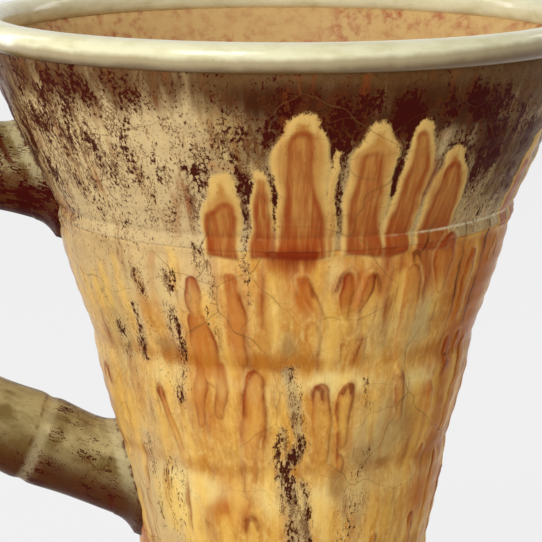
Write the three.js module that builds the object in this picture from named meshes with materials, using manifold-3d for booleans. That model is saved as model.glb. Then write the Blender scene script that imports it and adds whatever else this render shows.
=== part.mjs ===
// A drip-glazed jug vase: a trumpet body on a spreading foot, with one thick loop handle.
// It is thrown in sections that are luted together on tongue-and-groove edges with slip,
// and the handle is set on the wall in two pressed coils of clay.
// Millimetres, +Z up. The origin is the middle of the flat underside,
// and the handle points along -X.

import * as THREE from "three";
import { mergeVertices } from "three/addons/utils/BufferGeometryUtils.js";
import Module from "manifold-3d";

// Whole vessel
const HEIGHT = 272; // table to the top of the lip
const WALL = 5.5; // thrown wall
const SLIP_GAP = 0.3; // film of slip in every luted joint

// Mouth and its rolled lip
const MOUTH_RADIUS = 80.2; // outside of the wall under the lip
const MOUTH_DEPTH = 52.4; // top of the lip down to the first ledge
const LIP_HEIGHT = 6.4;
const LIP_OVERHANG = 2; // lip outside the wall
const LIP_INSET = 0.8; // lip inside the wall
const MOUTH_BOW = 0.8; // how far the cone bows out from a straight line
const LAP_HEIGHT = 3; // upright edge of the mouth over the first ledge
const LAP_OVERHANG = 0.6;

// Trumpet body: bands that each bulge below a ledge, shorter and shallower downwards
const FIRST_LEDGE_RADIUS = 60.8;
const WAIST_RADIUS = 34;
const BAND_COUNT = 5;
const BAND_HEIGHT_RATIO = 0.924;
const BAND_STEP_RATIO = 0.715;
const BAND_FULLNESS = 0.25; // share of a band that stands upright below its ledge

// Spreading foot and the flat base slab that closes it, with a bare rim round the bottom
const FOOT_HEIGHT = 79; // table to the joint under the waist
const FOOT_RADIUS = 55.5;
const FOOT_EDGE_HEIGHT = 13; // top of the rounded foot edge
const FOOT_EDGE_TUCK = 3; // how far the edge rolls in at the bottom
const ANKLE_HEIGHT = 37; // where the neck of the foot turns into its flare
const ANKLE_RADIUS = 36.6;
const NECK_RADIUS = 33; // the line that the neck bows in to
const FLARE_PULL = 0.95; // how far the neck's line carries on into the flare
const BASE_RIM_HEIGHT = 4;
const BASE_RIM_INSET = 1; // rim of the slab inside the foot's lower edge
const BASE_RIM_ROUND = 2;
const FLOOR_RADIUS = 45; // raised floor that locates the foot wall
const FLOOR_THICKNESS = 7;
const FLOOR_SHOULDER = 2.2; // step of the foot wall over the floor's edge

// Tongue on the upper edge of a section, which fits a groove in the section above
const TONGUE_WIDTH = 2.4;
const TONGUE_HEIGHT = 3;

// Loop handle: an oval bar with rings like the joints of a cane
const HANDLE_THICKNESS = 23; // across the loop's plane
const HANDLE_WIDTH = 26;
const HANDLE_REACH = 126; // vessel axis to the middle of the bar at its widest
const UPPER_ROOT_RAISE = 8.4; // first ledge up to the middle of the upper root
const ROOT_SPACING = 83.5; // upper root down to the lower root
const HANDLE_WIDEST_DROP = 25; // upper root down to the widest place
const UPPER_ROOT_RISE = THREE.MathUtils.degToRad(18);
const LOWER_ROOT_RISE = THREE.MathUtils.degToRad(23.6);
const UPPER_PULL = 40; // how far the bar runs straight out of each root before it turns
const LOWER_PULL = 52;
const BEND_UP = 20;
const BEND_DOWN = 24;
const CANE_RING_COUNT = 4;
const FIRST_CANE_RING = 27; // lower root to the first ring, along the bar
const CANE_RING_PITCH = 40;
const CANE_SWELL = 0.9;
const CANE_SWELL_LENGTH = 9;
const CANE_NOTCH = 0.9;
const CANE_NOTCH_LENGTH = 1.3;

// Coil of clay pressed round each root of the handle
const COIL_HEIGHT = 5.5; // along the bar, out from the wall
const COIL_SPREAD = 3.8; // beyond the bar where the coil meets the wall
const COIL_EDGE = 1.1; // beyond the bar at the coil's far edge

// Fineness of the facets
const TURN_SEGMENTS = 48;
const CURVE_STEPS = 3;
const BAR_SIDES = 22;
const BAR_STEP = 5.5;
const COIL_STEP = 2;

const GLAZE = { roughness: 0.22, metalness: 0 };
const honeyGlaze = new THREE.MeshStandardMaterial({ color: 0xd9a35a, ...GLAZE });
const stoneGlaze = new THREE.MeshStandardMaterial({ color: 0xb59f77, ...GLAZE });
const creamGlaze = new THREE.MeshStandardMaterial({ color: 0xe9e3bd, ...GLAZE });
const bareClay = new THREE.MeshStandardMaterial({ color: 0xc8a27e, roughness: 0.9, metalness: 0 });

const wasm = await Module();
wasm.setup();

// A closed mesh as a solid that can be cut and joined
function solidOf(geometry) {
  const bare = geometry.clone();
  bare.deleteAttribute("normal");
  bare.deleteAttribute("uv");
  const merged = mergeVertices(bare, 1e-4);
  return new wasm.Manifold(
    new wasm.Mesh({
      numProp: 3,
      vertProperties: merged.attributes.position.array,
      triVerts: new Uint32Array(merged.index.array),
    }),
  );
}

function geometryOf(solid) {
  const mesh = solid.getMesh();
  const geometry = new THREE.BufferGeometry();
  geometry.setAttribute("position", new THREE.BufferAttribute(mesh.vertProperties, 3));
  geometry.setIndex(new THREE.BufferAttribute(mesh.triVerts, 1));
  geometry.computeVertexNormals();
  return geometry;
}

// A closed outline in (radius, height), turned on the wheel about Z
function thrown(outline) {
  const points = outline.getPoints(CURVE_STEPS);
  if (!points[0].equals(points.at(-1))) points.push(points[0].clone());
  return new THREE.LatheGeometry(points, TURN_SEGMENTS).rotateX(Math.PI / 2);
}

// The ledges from the mouth joint down to the waist joint, as (radius, height).
// Heights and steps shrink by their ratios, and add up to the whole body.
function ledgeLine() {
  const shareOf = (ratio, band) => ((1 - ratio) / (1 - ratio ** BAND_COUNT)) * ratio ** band;
  const top = HEIGHT - MOUTH_DEPTH;
  const point = new THREE.Vector2(FIRST_LEDGE_RADIUS, top);
  const ledges = [point.clone()];
  for (let band = 0; band < BAND_COUNT; band++) {
    point.x -= (FIRST_LEDGE_RADIUS - WAIST_RADIUS) * shareOf(BAND_STEP_RATIO, band);
    point.y -= (top - FOOT_HEIGHT) * shareOf(BAND_HEIGHT_RATIO, band);
    ledges.push(point.clone());
  }
  return ledges;
}

const ledges = ledgeLine();
const mouthJoint = ledges[0];
const waistJoint = ledges.at(-1);
const lipSeat = HEIGHT - LIP_HEIGHT;
const footSeat = BASE_RIM_HEIGHT + SLIP_GAP;
const floorTop = BASE_RIM_HEIGHT + FLOOR_THICKNESS;

// The tongue is in the middle of the wall, and the groove clears it all round.
// A path runs up the outside, so the upper edge is crossed inwards and the lower edge outwards.
function crossUpperEdge(path, outerRadius, height) {
  const middle = outerRadius - WALL / 2;
  path.lineTo(outerRadius, height - SLIP_GAP);
  path.lineTo(middle + TONGUE_WIDTH / 2, height - SLIP_GAP);
  path.lineTo(middle + TONGUE_WIDTH / 2, height + TONGUE_HEIGHT - SLIP_GAP);
  path.lineTo(middle - TONGUE_WIDTH / 2, height + TONGUE_HEIGHT - SLIP_GAP);
  path.lineTo(middle - TONGUE_WIDTH / 2, height - SLIP_GAP);
  path.lineTo(outerRadius - WALL, height - SLIP_GAP);
}

function crossLowerEdge(path, outerRadius, height) {
  const middle = outerRadius - WALL / 2;
  const half = TONGUE_WIDTH / 2 + SLIP_GAP;
  path.lineTo(outerRadius - WALL, height);
  path.lineTo(middle - half, height);
  path.lineTo(middle - half, height + TONGUE_HEIGHT);
  path.lineTo(middle + half, height + TONGUE_HEIGHT);
  path.lineTo(middle + half, height);
}

// Outside of each section, drawn upwards
function mouthOutside(path) {
  const lapRadius = mouthJoint.x + LAP_OVERHANG;
  const lapTop = mouthJoint.y + LAP_HEIGHT;
  path.lineTo(lapRadius, mouthJoint.y);
  path.lineTo(lapRadius, lapTop);
  const middle = (lapRadius + MOUTH_RADIUS) / 2 + MOUTH_BOW;
  path.quadraticCurveTo(middle, (lapTop + lipSeat) / 2, MOUTH_RADIUS, lipSeat - SLIP_GAP);
}

function bodyOutside(path) {
  path.lineTo(waistJoint.x, waistJoint.y);
  for (let band = BAND_COUNT; band > 0; band--) {
    const upper = ledges[band - 1];
    const lower = ledges[band];
    const upright = upper.y - BAND_FULLNESS * (upper.y - lower.y);
    path.quadraticCurveTo(upper.x, upright, upper.x, band > 1 ? upper.y : upper.y - SLIP_GAP);
  }
}

// Corners that the foot's two curves pull towards, the same outside and inside the wall
const neckPull = new THREE.Vector2(NECK_RADIUS, (ANKLE_HEIGHT + FOOT_HEIGHT) / 2);
const ankle = new THREE.Vector2(ANKLE_RADIUS, ANKLE_HEIGHT);
const flarePull = ankle.clone().sub(neckPull).multiplyScalar(FLARE_PULL).add(ankle);

function footOutside(path) {
  path.lineTo(FOOT_RADIUS - FOOT_EDGE_TUCK, footSeat);
  path.quadraticCurveTo(FOOT_RADIUS, footSeat, FOOT_RADIUS, (footSeat + FOOT_EDGE_HEIGHT) / 2);
  path.lineTo(FOOT_RADIUS, FOOT_EDGE_HEIGHT);
  path.quadraticCurveTo(flarePull.x, flarePull.y, ankle.x, ankle.y);
  path.quadraticCurveTo(neckPull.x, neckPull.y, waistJoint.x, waistJoint.y - SLIP_GAP);
}

// Inside of the foot, drawn downwards from the waist to the floor's bore
function footInside(path) {
  const shoulder = FLOOR_RADIUS + SLIP_GAP - FLOOR_SHOULDER;
  path.quadraticCurveTo(neckPull.x - WALL, neckPull.y, ankle.x - WALL, ankle.y);
  path.quadraticCurveTo(flarePull.x - WALL, flarePull.y, shoulder, FOOT_EDGE_HEIGHT + WALL / 2);
  path.lineTo(shoulder, floorTop + SLIP_GAP);
  path.lineTo(FLOOR_RADIUS + SLIP_GAP, floorTop + SLIP_GAP);
  path.lineTo(FLOOR_RADIUS + SLIP_GAP, footSeat);
}

// Rolled lip: an oval bead with a groove underneath for the mouth's tongue
function makeLip() {
  const outer = MOUTH_RADIUS + LIP_OVERHANG;
  const inner = MOUTH_RADIUS - WALL - LIP_INSET;
  const middle = (outer + inner) / 2;
  const belly = lipSeat + LIP_HEIGHT / 2;
  const path = new THREE.Path();
  path.moveTo(MOUTH_RADIUS, lipSeat);
  path.quadraticCurveTo(outer, lipSeat, outer, belly);
  path.quadraticCurveTo(outer, HEIGHT, middle, HEIGHT);
  path.quadraticCurveTo(inner, HEIGHT, inner, belly);
  path.quadraticCurveTo(inner, lipSeat, MOUTH_RADIUS - WALL, lipSeat);
  crossLowerEdge(path, MOUTH_RADIUS, lipSeat);
  path.lineTo(MOUTH_RADIUS, lipSeat);
  return thrown(path);
}

function makeMouth() {
  const path = new THREE.Path();
  path.moveTo(mouthJoint.x, mouthJoint.y);
  mouthOutside(path);
  crossUpperEdge(path, MOUTH_RADIUS, lipSeat);
  const middle = (mouthJoint.x + MOUTH_RADIUS) / 2 + MOUTH_BOW - WALL;
  path.quadraticCurveTo(middle, (mouthJoint.y + lipSeat) / 2, mouthJoint.x - WALL, mouthJoint.y);
  crossLowerEdge(path, mouthJoint.x, mouthJoint.y);
  path.lineTo(mouthJoint.x, mouthJoint.y);
  return thrown(path);
}

function makeBody() {
  const path = new THREE.Path();
  path.moveTo(waistJoint.x, waistJoint.y);
  bodyOutside(path);
  crossUpperEdge(path, mouthJoint.x, mouthJoint.y);
  for (const ledge of ledges.slice(1)) path.lineTo(ledge.x - WALL, ledge.y);
  crossLowerEdge(path, waistJoint.x, waistJoint.y);
  path.lineTo(waistJoint.x, waistJoint.y);
  return thrown(path);
}

function makeFoot() {
  const path = new THREE.Path();
  path.moveTo(FLOOR_RADIUS + SLIP_GAP, footSeat);
  footOutside(path);
  crossUpperEdge(path, waistJoint.x, waistJoint.y);
  footInside(path);
  return thrown(path);
}

// Flat slab with a raised floor that stands inside the foot wall
function makeBase() {
  const rim = FOOT_RADIUS - FOOT_EDGE_TUCK - BASE_RIM_INSET;
  const path = new THREE.Path();
  path.moveTo(0, 0);
  path.lineTo(rim - BASE_RIM_ROUND, 0);
  path.quadraticCurveTo(rim, 0, rim, BASE_RIM_ROUND);
  path.lineTo(rim, BASE_RIM_HEIGHT);
  path.lineTo(FLOOR_RADIUS, BASE_RIM_HEIGHT);
  path.lineTo(FLOOR_RADIUS, floorTop);
  path.lineTo(0, floorTop);
  return new THREE.LatheGeometry(path.getPoints(CURVE_STEPS), TURN_SEGMENTS).rotateX(Math.PI / 2);
}

// The whole outside as one solid of revolution, grown outwards by a clearance:
// what the handle and its coils are cut back from
function outsideOutline() {
  const path = new THREE.Path();
  path.moveTo(0, footSeat);
  footOutside(path);
  bodyOutside(path);
  mouthOutside(path);
  path.lineTo(0, lipSeat - SLIP_GAP);
  return path.getPoints(CURVE_STEPS);
}

const outside = outsideOutline();

function outsideSolid(clearance) {
  const grown = outside.map((p) => new THREE.Vector2(p.x > 0 ? p.x + clearance : 0, p.y));
  return solidOf(new THREE.LatheGeometry(grown, TURN_SEGMENTS).rotateX(Math.PI / 2));
}

// Radius of the wall at a height. Above the mouth it is that of the mouth.
function wallRadiusAt(height) {
  const wall = outside.slice(1, -1);
  const above = wall.findIndex((p, i) => i > 0 && p.y >= height);
  if (above < 0) return MOUTH_RADIUS;
  const upper = wall[above];
  const lower = wall[above - 1];
  const share = (height - lower.y) / Math.max(upper.y - lower.y, 1e-6);
  return THREE.MathUtils.lerp(lower.x, upper.x, share);
}

// Middle line of the bar, from inside the wall at the lower root to inside it at the upper root
function handleLine() {
  const at = (x, z) => new THREE.Vector3(x, 0, z);
  const upperHeight = mouthJoint.y + UPPER_ROOT_RAISE;
  const lowerHeight = upperHeight - ROOT_SPACING;
  const upper = at(-wallRadiusAt(upperHeight), upperHeight);
  const lower = at(-wallRadiusAt(lowerHeight), lowerHeight);
  const widest = at(-HANDLE_REACH, upperHeight - HANDLE_WIDEST_DROP);
  const outOfLower = at(-Math.cos(LOWER_ROOT_RISE), Math.sin(LOWER_ROOT_RISE));
  const outOfUpper = at(-Math.cos(UPPER_ROOT_RISE), Math.sin(UPPER_ROOT_RISE));
  const along = (from, direction, length) => from.clone().addScaledVector(direction, length);
  const up = at(0, 1);
  const line = new THREE.CurvePath();
  line.add(new THREE.LineCurve3(along(lower, outOfLower, -HANDLE_THICKNESS / 2), lower));
  line.add(
    new THREE.CubicBezierCurve3(
      lower,
      along(lower, outOfLower, LOWER_PULL),
      along(widest, up, -BEND_DOWN),
      widest,
    ),
  );
  line.add(
    new THREE.CubicBezierCurve3(
      widest,
      along(widest, up, BEND_UP),
      along(upper, outOfUpper, UPPER_PULL),
      upper,
    ),
  );
  line.add(new THREE.LineCurve3(upper, along(upper, outOfUpper, -HANDLE_THICKNESS / 2)));
  return line;
}

const bar = handleLine();
const barLength = bar.getLength();
const lowerRootAt = HANDLE_THICKNESS / 2; // along the bar from its end inside the wall
const caneRings = Array.from(
  { length: CANE_RING_COUNT },
  (_, i) => lowerRootAt + FIRST_CANE_RING + i * CANE_RING_PITCH,
);

// How much thicker or thinner the bar is at a place along it: each ring swells and has a notch
function caneRelief(place) {
  return caneRings.reduce((relief, ring) => {
    const swell = CANE_SWELL * Math.exp(-(((place - ring) / CANE_SWELL_LENGTH) ** 2));
    const notch = CANE_NOTCH * Math.exp(-(((place - ring) / CANE_NOTCH_LENGTH) ** 2));
    return relief + swell - notch;
  }, 0);
}

// An oval section lofted along the bar. growth(point) widens it at each corner.
function barLoft(places, growth) {
  const position = [];
  const index = [];
  places.forEach((place) => {
    const share = Math.min(place / barLength, 1);
    const centre = bar.getPointAt(share);
    const tangent = bar.getTangentAt(share);
    const across = new THREE.Vector3(-tangent.z, 0, tangent.x);
    for (let side = 0; side < BAR_SIDES; side++) {
      const turn = (2 * Math.PI * side) / BAR_SIDES;
      const outwards = across.clone().multiplyScalar(Math.cos(turn)).setY(Math.sin(turn));
      const half = new THREE.Vector2(HANDLE_THICKNESS / 2, HANDLE_WIDTH / 2).addScalar(caneRelief(place));
      const point = centre.clone().addScaledVector(across, half.x * Math.cos(turn));
      point.y += half.y * Math.sin(turn);
      point.addScaledVector(outwards, growth(point));
      position.push(point.x, point.y, point.z);
    }
  });
  for (let step = 0; step < places.length - 1; step++) {
    for (let side = 0; side < BAR_SIDES; side++) {
      const next = (side + 1) % BAR_SIDES;
      const a = step * BAR_SIDES + side;
      const b = step * BAR_SIDES + next;
      index.push(a, b + BAR_SIDES, b, a, a + BAR_SIDES, b + BAR_SIDES);
    }
  }
  const last = (places.length - 1) * BAR_SIDES;
  for (let side = 1; side < BAR_SIDES - 1; side++) {
    index.push(0, side, side + 1);
    index.push(last, last + side + 1, last + side);
  }
  const geometry = new THREE.BufferGeometry();
  geometry.setAttribute("position", new THREE.Float32BufferAttribute(position, 3));
  geometry.setIndex(index);
  return geometry;
}

// Even steps along the bar, with closer ones across each ring's notch
function barPlaces() {
  const even = Math.ceil(barLength / BAR_STEP);
  const places = Array.from({ length: even + 1 }, (_, i) => (i * barLength) / even);
  const acrossNotch = [-2, -1, 0, 1, 2].map((step) => step * CANE_NOTCH_LENGTH);
  const clearOf = (ring, place) => Math.abs(place - ring) > 2.5 * CANE_NOTCH_LENGTH;
  const between = places.filter((place) => caneRings.every((ring) => clearOf(ring, place)));
  const notches = caneRings.flatMap((ring) => acrossNotch.map((offset) => ring + offset));
  return [...between, ...notches].sort((a, b) => a - b);
}

// From the bar's end in the wall to past the coil, on the side where the wall leans over too
function coilPlaces(fromUpperEnd) {
  const reach = 1.5 * HANDLE_THICKNESS + COIL_HEIGHT;
  const count = Math.ceil(reach / COIL_STEP);
  const places = Array.from({ length: count + 1 }, (_, i) => (i * reach) / count);
  return fromUpperEnd ? places.map((place) => barLength - place).reverse() : places;
}

const barClearance = solidOf(barLoft(barPlaces(), () => SLIP_GAP));
const wallClearance = outsideSolid(SLIP_GAP);

function makeHandle() {
  return geometryOf(solidOf(barLoft(barPlaces(), () => 0)).subtract(wallClearance));
}

// The coil is thickest on the wall and thins out along the bar
function coilGrowth(point) {
  const fromWall = Math.hypot(point.x, point.y) - wallRadiusAt(point.z);
  const spread = 1 - THREE.MathUtils.clamp(fromWall / COIL_HEIGHT, 0, 1);
  return COIL_EDGE + (COIL_SPREAD - COIL_EDGE) * spread ** 2;
}

function makeCoil(fromUpperEnd) {
  const flare = solidOf(barLoft(coilPlaces(fromUpperEnd), coilGrowth));
  const onWall = flare.intersect(outsideSolid(COIL_HEIGHT)).subtract(wallClearance);
  return geometryOf(onWall.subtract(barClearance));
}

function piece(name, geometry, material) {
  const mesh = new THREE.Mesh(geometry, material);
  mesh.name = name;
  return mesh;
}

const jugVase = new THREE.Group();
jugVase.add(
  piece("rim_lip", makeLip(), creamGlaze),
  piece("mouth_section", makeMouth(), stoneGlaze),
  piece("body_section", makeBody(), honeyGlaze),
  piece("foot_section", makeFoot(), honeyGlaze),
  piece("base_slab", makeBase(), bareClay),
  piece("handle_bar", makeHandle(), stoneGlaze),
  piece("upper_root_coil", makeCoil(true), stoneGlaze),
  piece("lower_root_coil", makeCoil(false), stoneGlaze),
);

export default jugVase;
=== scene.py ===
# %% [markdown]
# # A jug vase with a runny glaze
# This lesson dresses a jug vase in Blender. The vase is thrown in sections on a potter's wheel, gets a
# thick loop handle, and is dipped in two glazes that run into each other in the kiln.
# The solids come packed as a fixed frame. We load them first.

# %% Load the frame
import math
import random

import bpy
import numpy as np
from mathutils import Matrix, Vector


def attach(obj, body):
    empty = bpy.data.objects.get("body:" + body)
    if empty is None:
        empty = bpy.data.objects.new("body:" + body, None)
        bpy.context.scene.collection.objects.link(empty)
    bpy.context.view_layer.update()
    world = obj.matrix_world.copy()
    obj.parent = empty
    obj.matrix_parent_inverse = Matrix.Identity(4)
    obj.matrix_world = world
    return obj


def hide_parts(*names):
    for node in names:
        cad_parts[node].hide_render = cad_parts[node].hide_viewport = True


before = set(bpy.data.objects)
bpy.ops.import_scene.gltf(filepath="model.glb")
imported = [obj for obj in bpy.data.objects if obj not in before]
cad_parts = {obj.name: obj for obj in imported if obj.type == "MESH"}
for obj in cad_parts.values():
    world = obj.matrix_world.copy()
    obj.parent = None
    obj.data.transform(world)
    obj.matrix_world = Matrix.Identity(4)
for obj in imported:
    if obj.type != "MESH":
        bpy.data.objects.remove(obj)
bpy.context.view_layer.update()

MM = 0.001
print("frame:", ", ".join(sorted(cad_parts)))

# %% [markdown]
# ## Outlines
# A thrown pot is round, so each section is one outline that turns about the vase's axis. An outline is a
# short list of curves, in millimetres from the axis and above the table. Each curve bends from its start
# to its end towards one pull point, and is cut into short steps so that the glaze later has enough
# corners to be painted on.

# %% Curves for the outlines
def curve(start, pull, end, step):
    """Points of a curve from start towards pull to end, about one every step, without the end."""
    start, pull, end = np.array(start), np.array(pull), np.array(end)
    length = np.linalg.norm(pull - start) + np.linalg.norm(end - pull)
    count = max(2, round(length / step))
    t = np.linspace(0, 1, count, endpoint=False)[:, None]
    return [tuple(p) for p in (1 - t) ** 2 * start + 2 * t * (1 - t) * pull + t ** 2 * end]


def line(start, end, step):
    """Points of a straight line from start to end, about one every step, without the end."""
    middle = ((start[0] + end[0]) / 2, (start[1] + end[1]) / 2)
    return curve(start, middle, end, step)


print("a short curve has", len(curve((0, 0), (5, 0), (5, 5), 2)), "points")

# %% [markdown]
# ## Tracing and turning
# By hand we would place one corner, extrude it from point to point along the outline, and spin it round.
# The Screw modifier with no rise does the spin much faster than the Spin tool when there are hundreds of
# steps. The first and the last copy are merged, and the faces are then pointed outwards.

# %% Trace an outline and turn it on the wheel
SAME_PLACE = 1e-6        # metres: corners this close are one corner


def deselect():
    bpy.ops.object.select_all(action="DESELECT")


def trace(name, outline):
    """One corner, extruded along the outline in the XZ plane, as a new object."""
    deselect()
    bpy.ops.mesh.primitive_plane_add(size=MM)
    piece = bpy.context.object
    piece.name = name
    piece.data.name = name
    bpy.ops.object.mode_set(mode="EDIT")
    bpy.ops.mesh.select_all(action="SELECT")
    bpy.ops.mesh.merge(type="CENTER")
    here = (0.0, 0.0)
    for number, (radius, height) in enumerate(outline):
        step = ((radius - here[0]) * MM, 0, (height - here[1]) * MM)
        if number == 0:
            bpy.ops.transform.translate(value=step)
        else:
            bpy.ops.mesh.extrude_vertices_move(TRANSFORM_OT_translate={"value": step})
        here = (radius, height)
    bpy.ops.mesh.select_all(action="SELECT")
    bpy.ops.mesh.remove_doubles(threshold=SAME_PLACE)
    bpy.ops.object.mode_set(mode="OBJECT")
    return piece


def apply(piece, modifier):
    bpy.context.view_layer.objects.active = piece
    bpy.ops.object.modifier_apply(modifier=modifier.name)


def close_up(piece):
    """Merges doubled corners and points every face outwards."""
    bpy.context.view_layer.objects.active = piece
    bpy.ops.object.mode_set(mode="EDIT")
    bpy.ops.mesh.select_all(action="SELECT")
    bpy.ops.mesh.remove_doubles(threshold=SAME_PLACE)
    bpy.ops.mesh.normals_make_consistent(inside=False)
    bpy.ops.object.mode_set(mode="OBJECT")
    bpy.ops.object.shade_smooth()


def throw(name, outline, steps):
    """A round piece: the outline turned once about the axis."""
    piece = trace(name, outline)
    wheel = piece.modifiers.new("wheel", "SCREW")
    wheel.angle = 2 * math.pi
    wheel.steps = steps
    wheel.render_steps = steps
    wheel.use_merge_vertices = True
    wheel.merge_threshold = SAME_PLACE
    apply(piece, wheel)
    close_up(piece)
    print(name, "has", len(piece.data.polygons), "faces")
    return piece


# %% [markdown]
# ## Mouth section
# The mouth is the wide cone at the top. Its lower edge laps over the body below, and that lap is the
# sharp line that rings the vase. The outline goes up the outside and down the inside, and closes on
# itself, so the turned wall has its real thickness. The outside has short steps for the glaze, and the
# inside long ones.

# %% Mouth section
HEIGHT = 272.0
WALL = 5.5
LIP_SEAT = 265.3
MOUTH_RADIUS = 80.2
MOUTH_PULL = (71.6, 244.1)
LAP_FOOT = 219.5
LAP_RADIUS = 61.4
LAP_HEIGHT = 3.0
# Points of the lap: how far out from its radius and how far up from its foot.
LAP_EDGE = (-0.5, 0.0)
LAP_EDGE_PULL = (0.2, 0.0)
LAP_BELLY = (0.3, 0.8)
LAP_BELLY_PULL = (0.3, 2.2)
LAP_CREASE = (0.1, 2.9)
LAP_CREASE_PULL = (-0.05, 3.4)
LAP_TOP = (0.75, 4.6)
LAP_EDGE_STEP = 0.2
LAP_STEP = 0.4
FINE = 0.65              # step on a wall that is painted
COARSE = 2.5             # step on a wall that is hardly seen
MOUTH_STEPS = 640


def lap(offset):
    """A point of the lap, from the axis and above the table."""
    return (LAP_RADIUS + offset[0], LAP_FOOT + offset[1])


mouth_outside = (
    curve(lap(LAP_EDGE), lap(LAP_EDGE_PULL), lap(LAP_BELLY), LAP_EDGE_STEP)
    + curve(lap(LAP_BELLY), lap(LAP_BELLY_PULL), lap(LAP_CREASE), LAP_STEP)
    + curve(lap(LAP_CREASE), lap(LAP_CREASE_PULL), lap(LAP_TOP), LAP_STEP)
    + curve(lap(LAP_TOP), MOUTH_PULL, (MOUTH_RADIUS, LIP_SEAT), FINE)
)
mouth_inside = (
    line((MOUTH_RADIUS, LIP_SEAT), (MOUTH_RADIUS - WALL, LIP_SEAT), COARSE)
    + curve((MOUTH_RADIUS - WALL, LIP_SEAT), (MOUTH_PULL[0] - WALL, MOUTH_PULL[1]),
            (LAP_RADIUS - WALL, LAP_FOOT), COARSE)
    + line((LAP_RADIUS - WALL, LAP_FOOT), lap(LAP_EDGE), COARSE)
)
mouth = throw("glazed_mouth", mouth_outside + mouth_inside + mouth_outside[:1], MOUTH_STEPS)

# %% [markdown]
# ## Body section
# The body is a trumpet in five bands. Each band starts full under its ledge and tapers to the next, and
# each is a little lower and steps in a little less than the one above, by the same ratio every time.
# Glaze fills the creases, so the outline is softened: every point becomes the average of the outline
# just above and below it.

# %% Body section
FIRST_LEDGE = (60.8, 219.6)
WAIST = (34.0, 79.0)
BAND_COUNT = 5
BAND_HEIGHT_RATIO = 0.924
BAND_STEP_RATIO = 0.715
BAND_FULLNESS = 0.25
SHARP_STEP = 0.2
CREASE_SOFTNESS = 0.8    # how far, in millimetres, the glaze rounds a crease
# The roll of glaze under the first ledge: how far out from the ledge and how far up.
GLAZE_ROLL = [(-1.4, 0.2), (0.3, 0.0), (0.45, -0.5), (0.3, -1.1), (0.05, -1.8)]
ROLL_HEIGHT = 2.6
ROW_HEIGHT = 1.15
WAIST_ROOM = 1.2         # the rows end this far above the waist
WAIST_TURN = [(0.0, 0.8), (-0.5, 0.0)]
INSIDE_STEP = 12
BODY_STEPS = 700


def fallen(ratio):
    """How far down each ledge lies, from 0 to 1, when each band is ratio times the one above."""
    parts = np.array([ratio ** band for band in range(BAND_COUNT)])
    return np.append(0, np.cumsum(parts / parts.sum()))


ledge_heights = FIRST_LEDGE[1] - fallen(BAND_HEIGHT_RATIO) * (FIRST_LEDGE[1] - WAIST[1])
ledge_radii = FIRST_LEDGE[0] - fallen(BAND_STEP_RATIO) * (FIRST_LEDGE[0] - WAIST[0])
ledges = list(zip(ledge_radii.tolist(), ledge_heights.tolist()))

banded = []
for (r0, z0), (r1, z1) in zip(ledges, ledges[1:]):
    banded += curve((r0, z0), (r0, z0 - BAND_FULLNESS * (z0 - z1)), (r1, z1), SHARP_STEP)
banded.append(ledges[-1])
sharp = np.array(banded)[::-1]

reach = np.linspace(-2, 2, 21)
softening = np.exp(-reach ** 2 / 2)
softening /= softening.sum()


def soft_radius(height):
    """Outside radius of the body at a height, with its creases rounded."""
    around = height + reach * CREASE_SOFTNESS
    return float((np.interp(around, sharp[:, 1], sharp[:, 0]) * softening).sum())


body_rows = np.arange(FIRST_LEDGE[1] - ROLL_HEIGHT, WAIST[1] + WAIST_ROOM, -ROW_HEIGHT)
body_outside = [(FIRST_LEDGE[0] + out, FIRST_LEDGE[1] + up) for out, up in GLAZE_ROLL]
body_outside += [(soft_radius(z), z) for z in body_rows]
body_outside += [(WAIST[0] + out, WAIST[1] + up) for out, up in WAIST_TURN]
body_inside = [(r - WALL, z) for r, z in ledges[::-1]]
body_inside[-1] = (FIRST_LEDGE[0] - WALL, body_outside[0][1])
body_outline = list(body_outside)
for lower, upper in zip(body_inside, body_inside[1:]):
    body_outline += line(lower, upper, INSIDE_STEP)
body_outline += [body_inside[-1], body_outside[0]]
body = throw("glazed_body", body_outline, BODY_STEPS)

# %% [markdown]
# ## Foot section, base and lip
# The foot spreads from the waist to a low, tucked-in edge. The flat slab that closes it keeps its bare
# clay, so that it can't stick to the kiln shelf, and its raised floor seats inside the foot. The lip is a
# rolled coil, an oval ring that sits on the mouth.

# %% Foot section
FOOT_EDGE = 55.5
FOOT_BOTTOM = 4.2
EDGE_TUCK = 3.0
EDGE_MIDDLE = (FOOT_EDGE, 8.6)
EDGE_PULL = (FOOT_EDGE, 14.0)
EDGE_BROW = (52.9, 14.4)
ANKLE = (36.6, 37.0)
FLARE_PULL = (40.0, 17.0)
NECK_PULL = (33.0, 58.0)
FLOOR_RADIUS = 45.0
FLOOR_TOP = 11.0
SHOULDER = (43.1, 15.8)
EDGE_STEP = 0.7
FLARE_STEP = 0.8
HOLLOW_STEP = 4
FOOT_STEPS = 400

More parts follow.
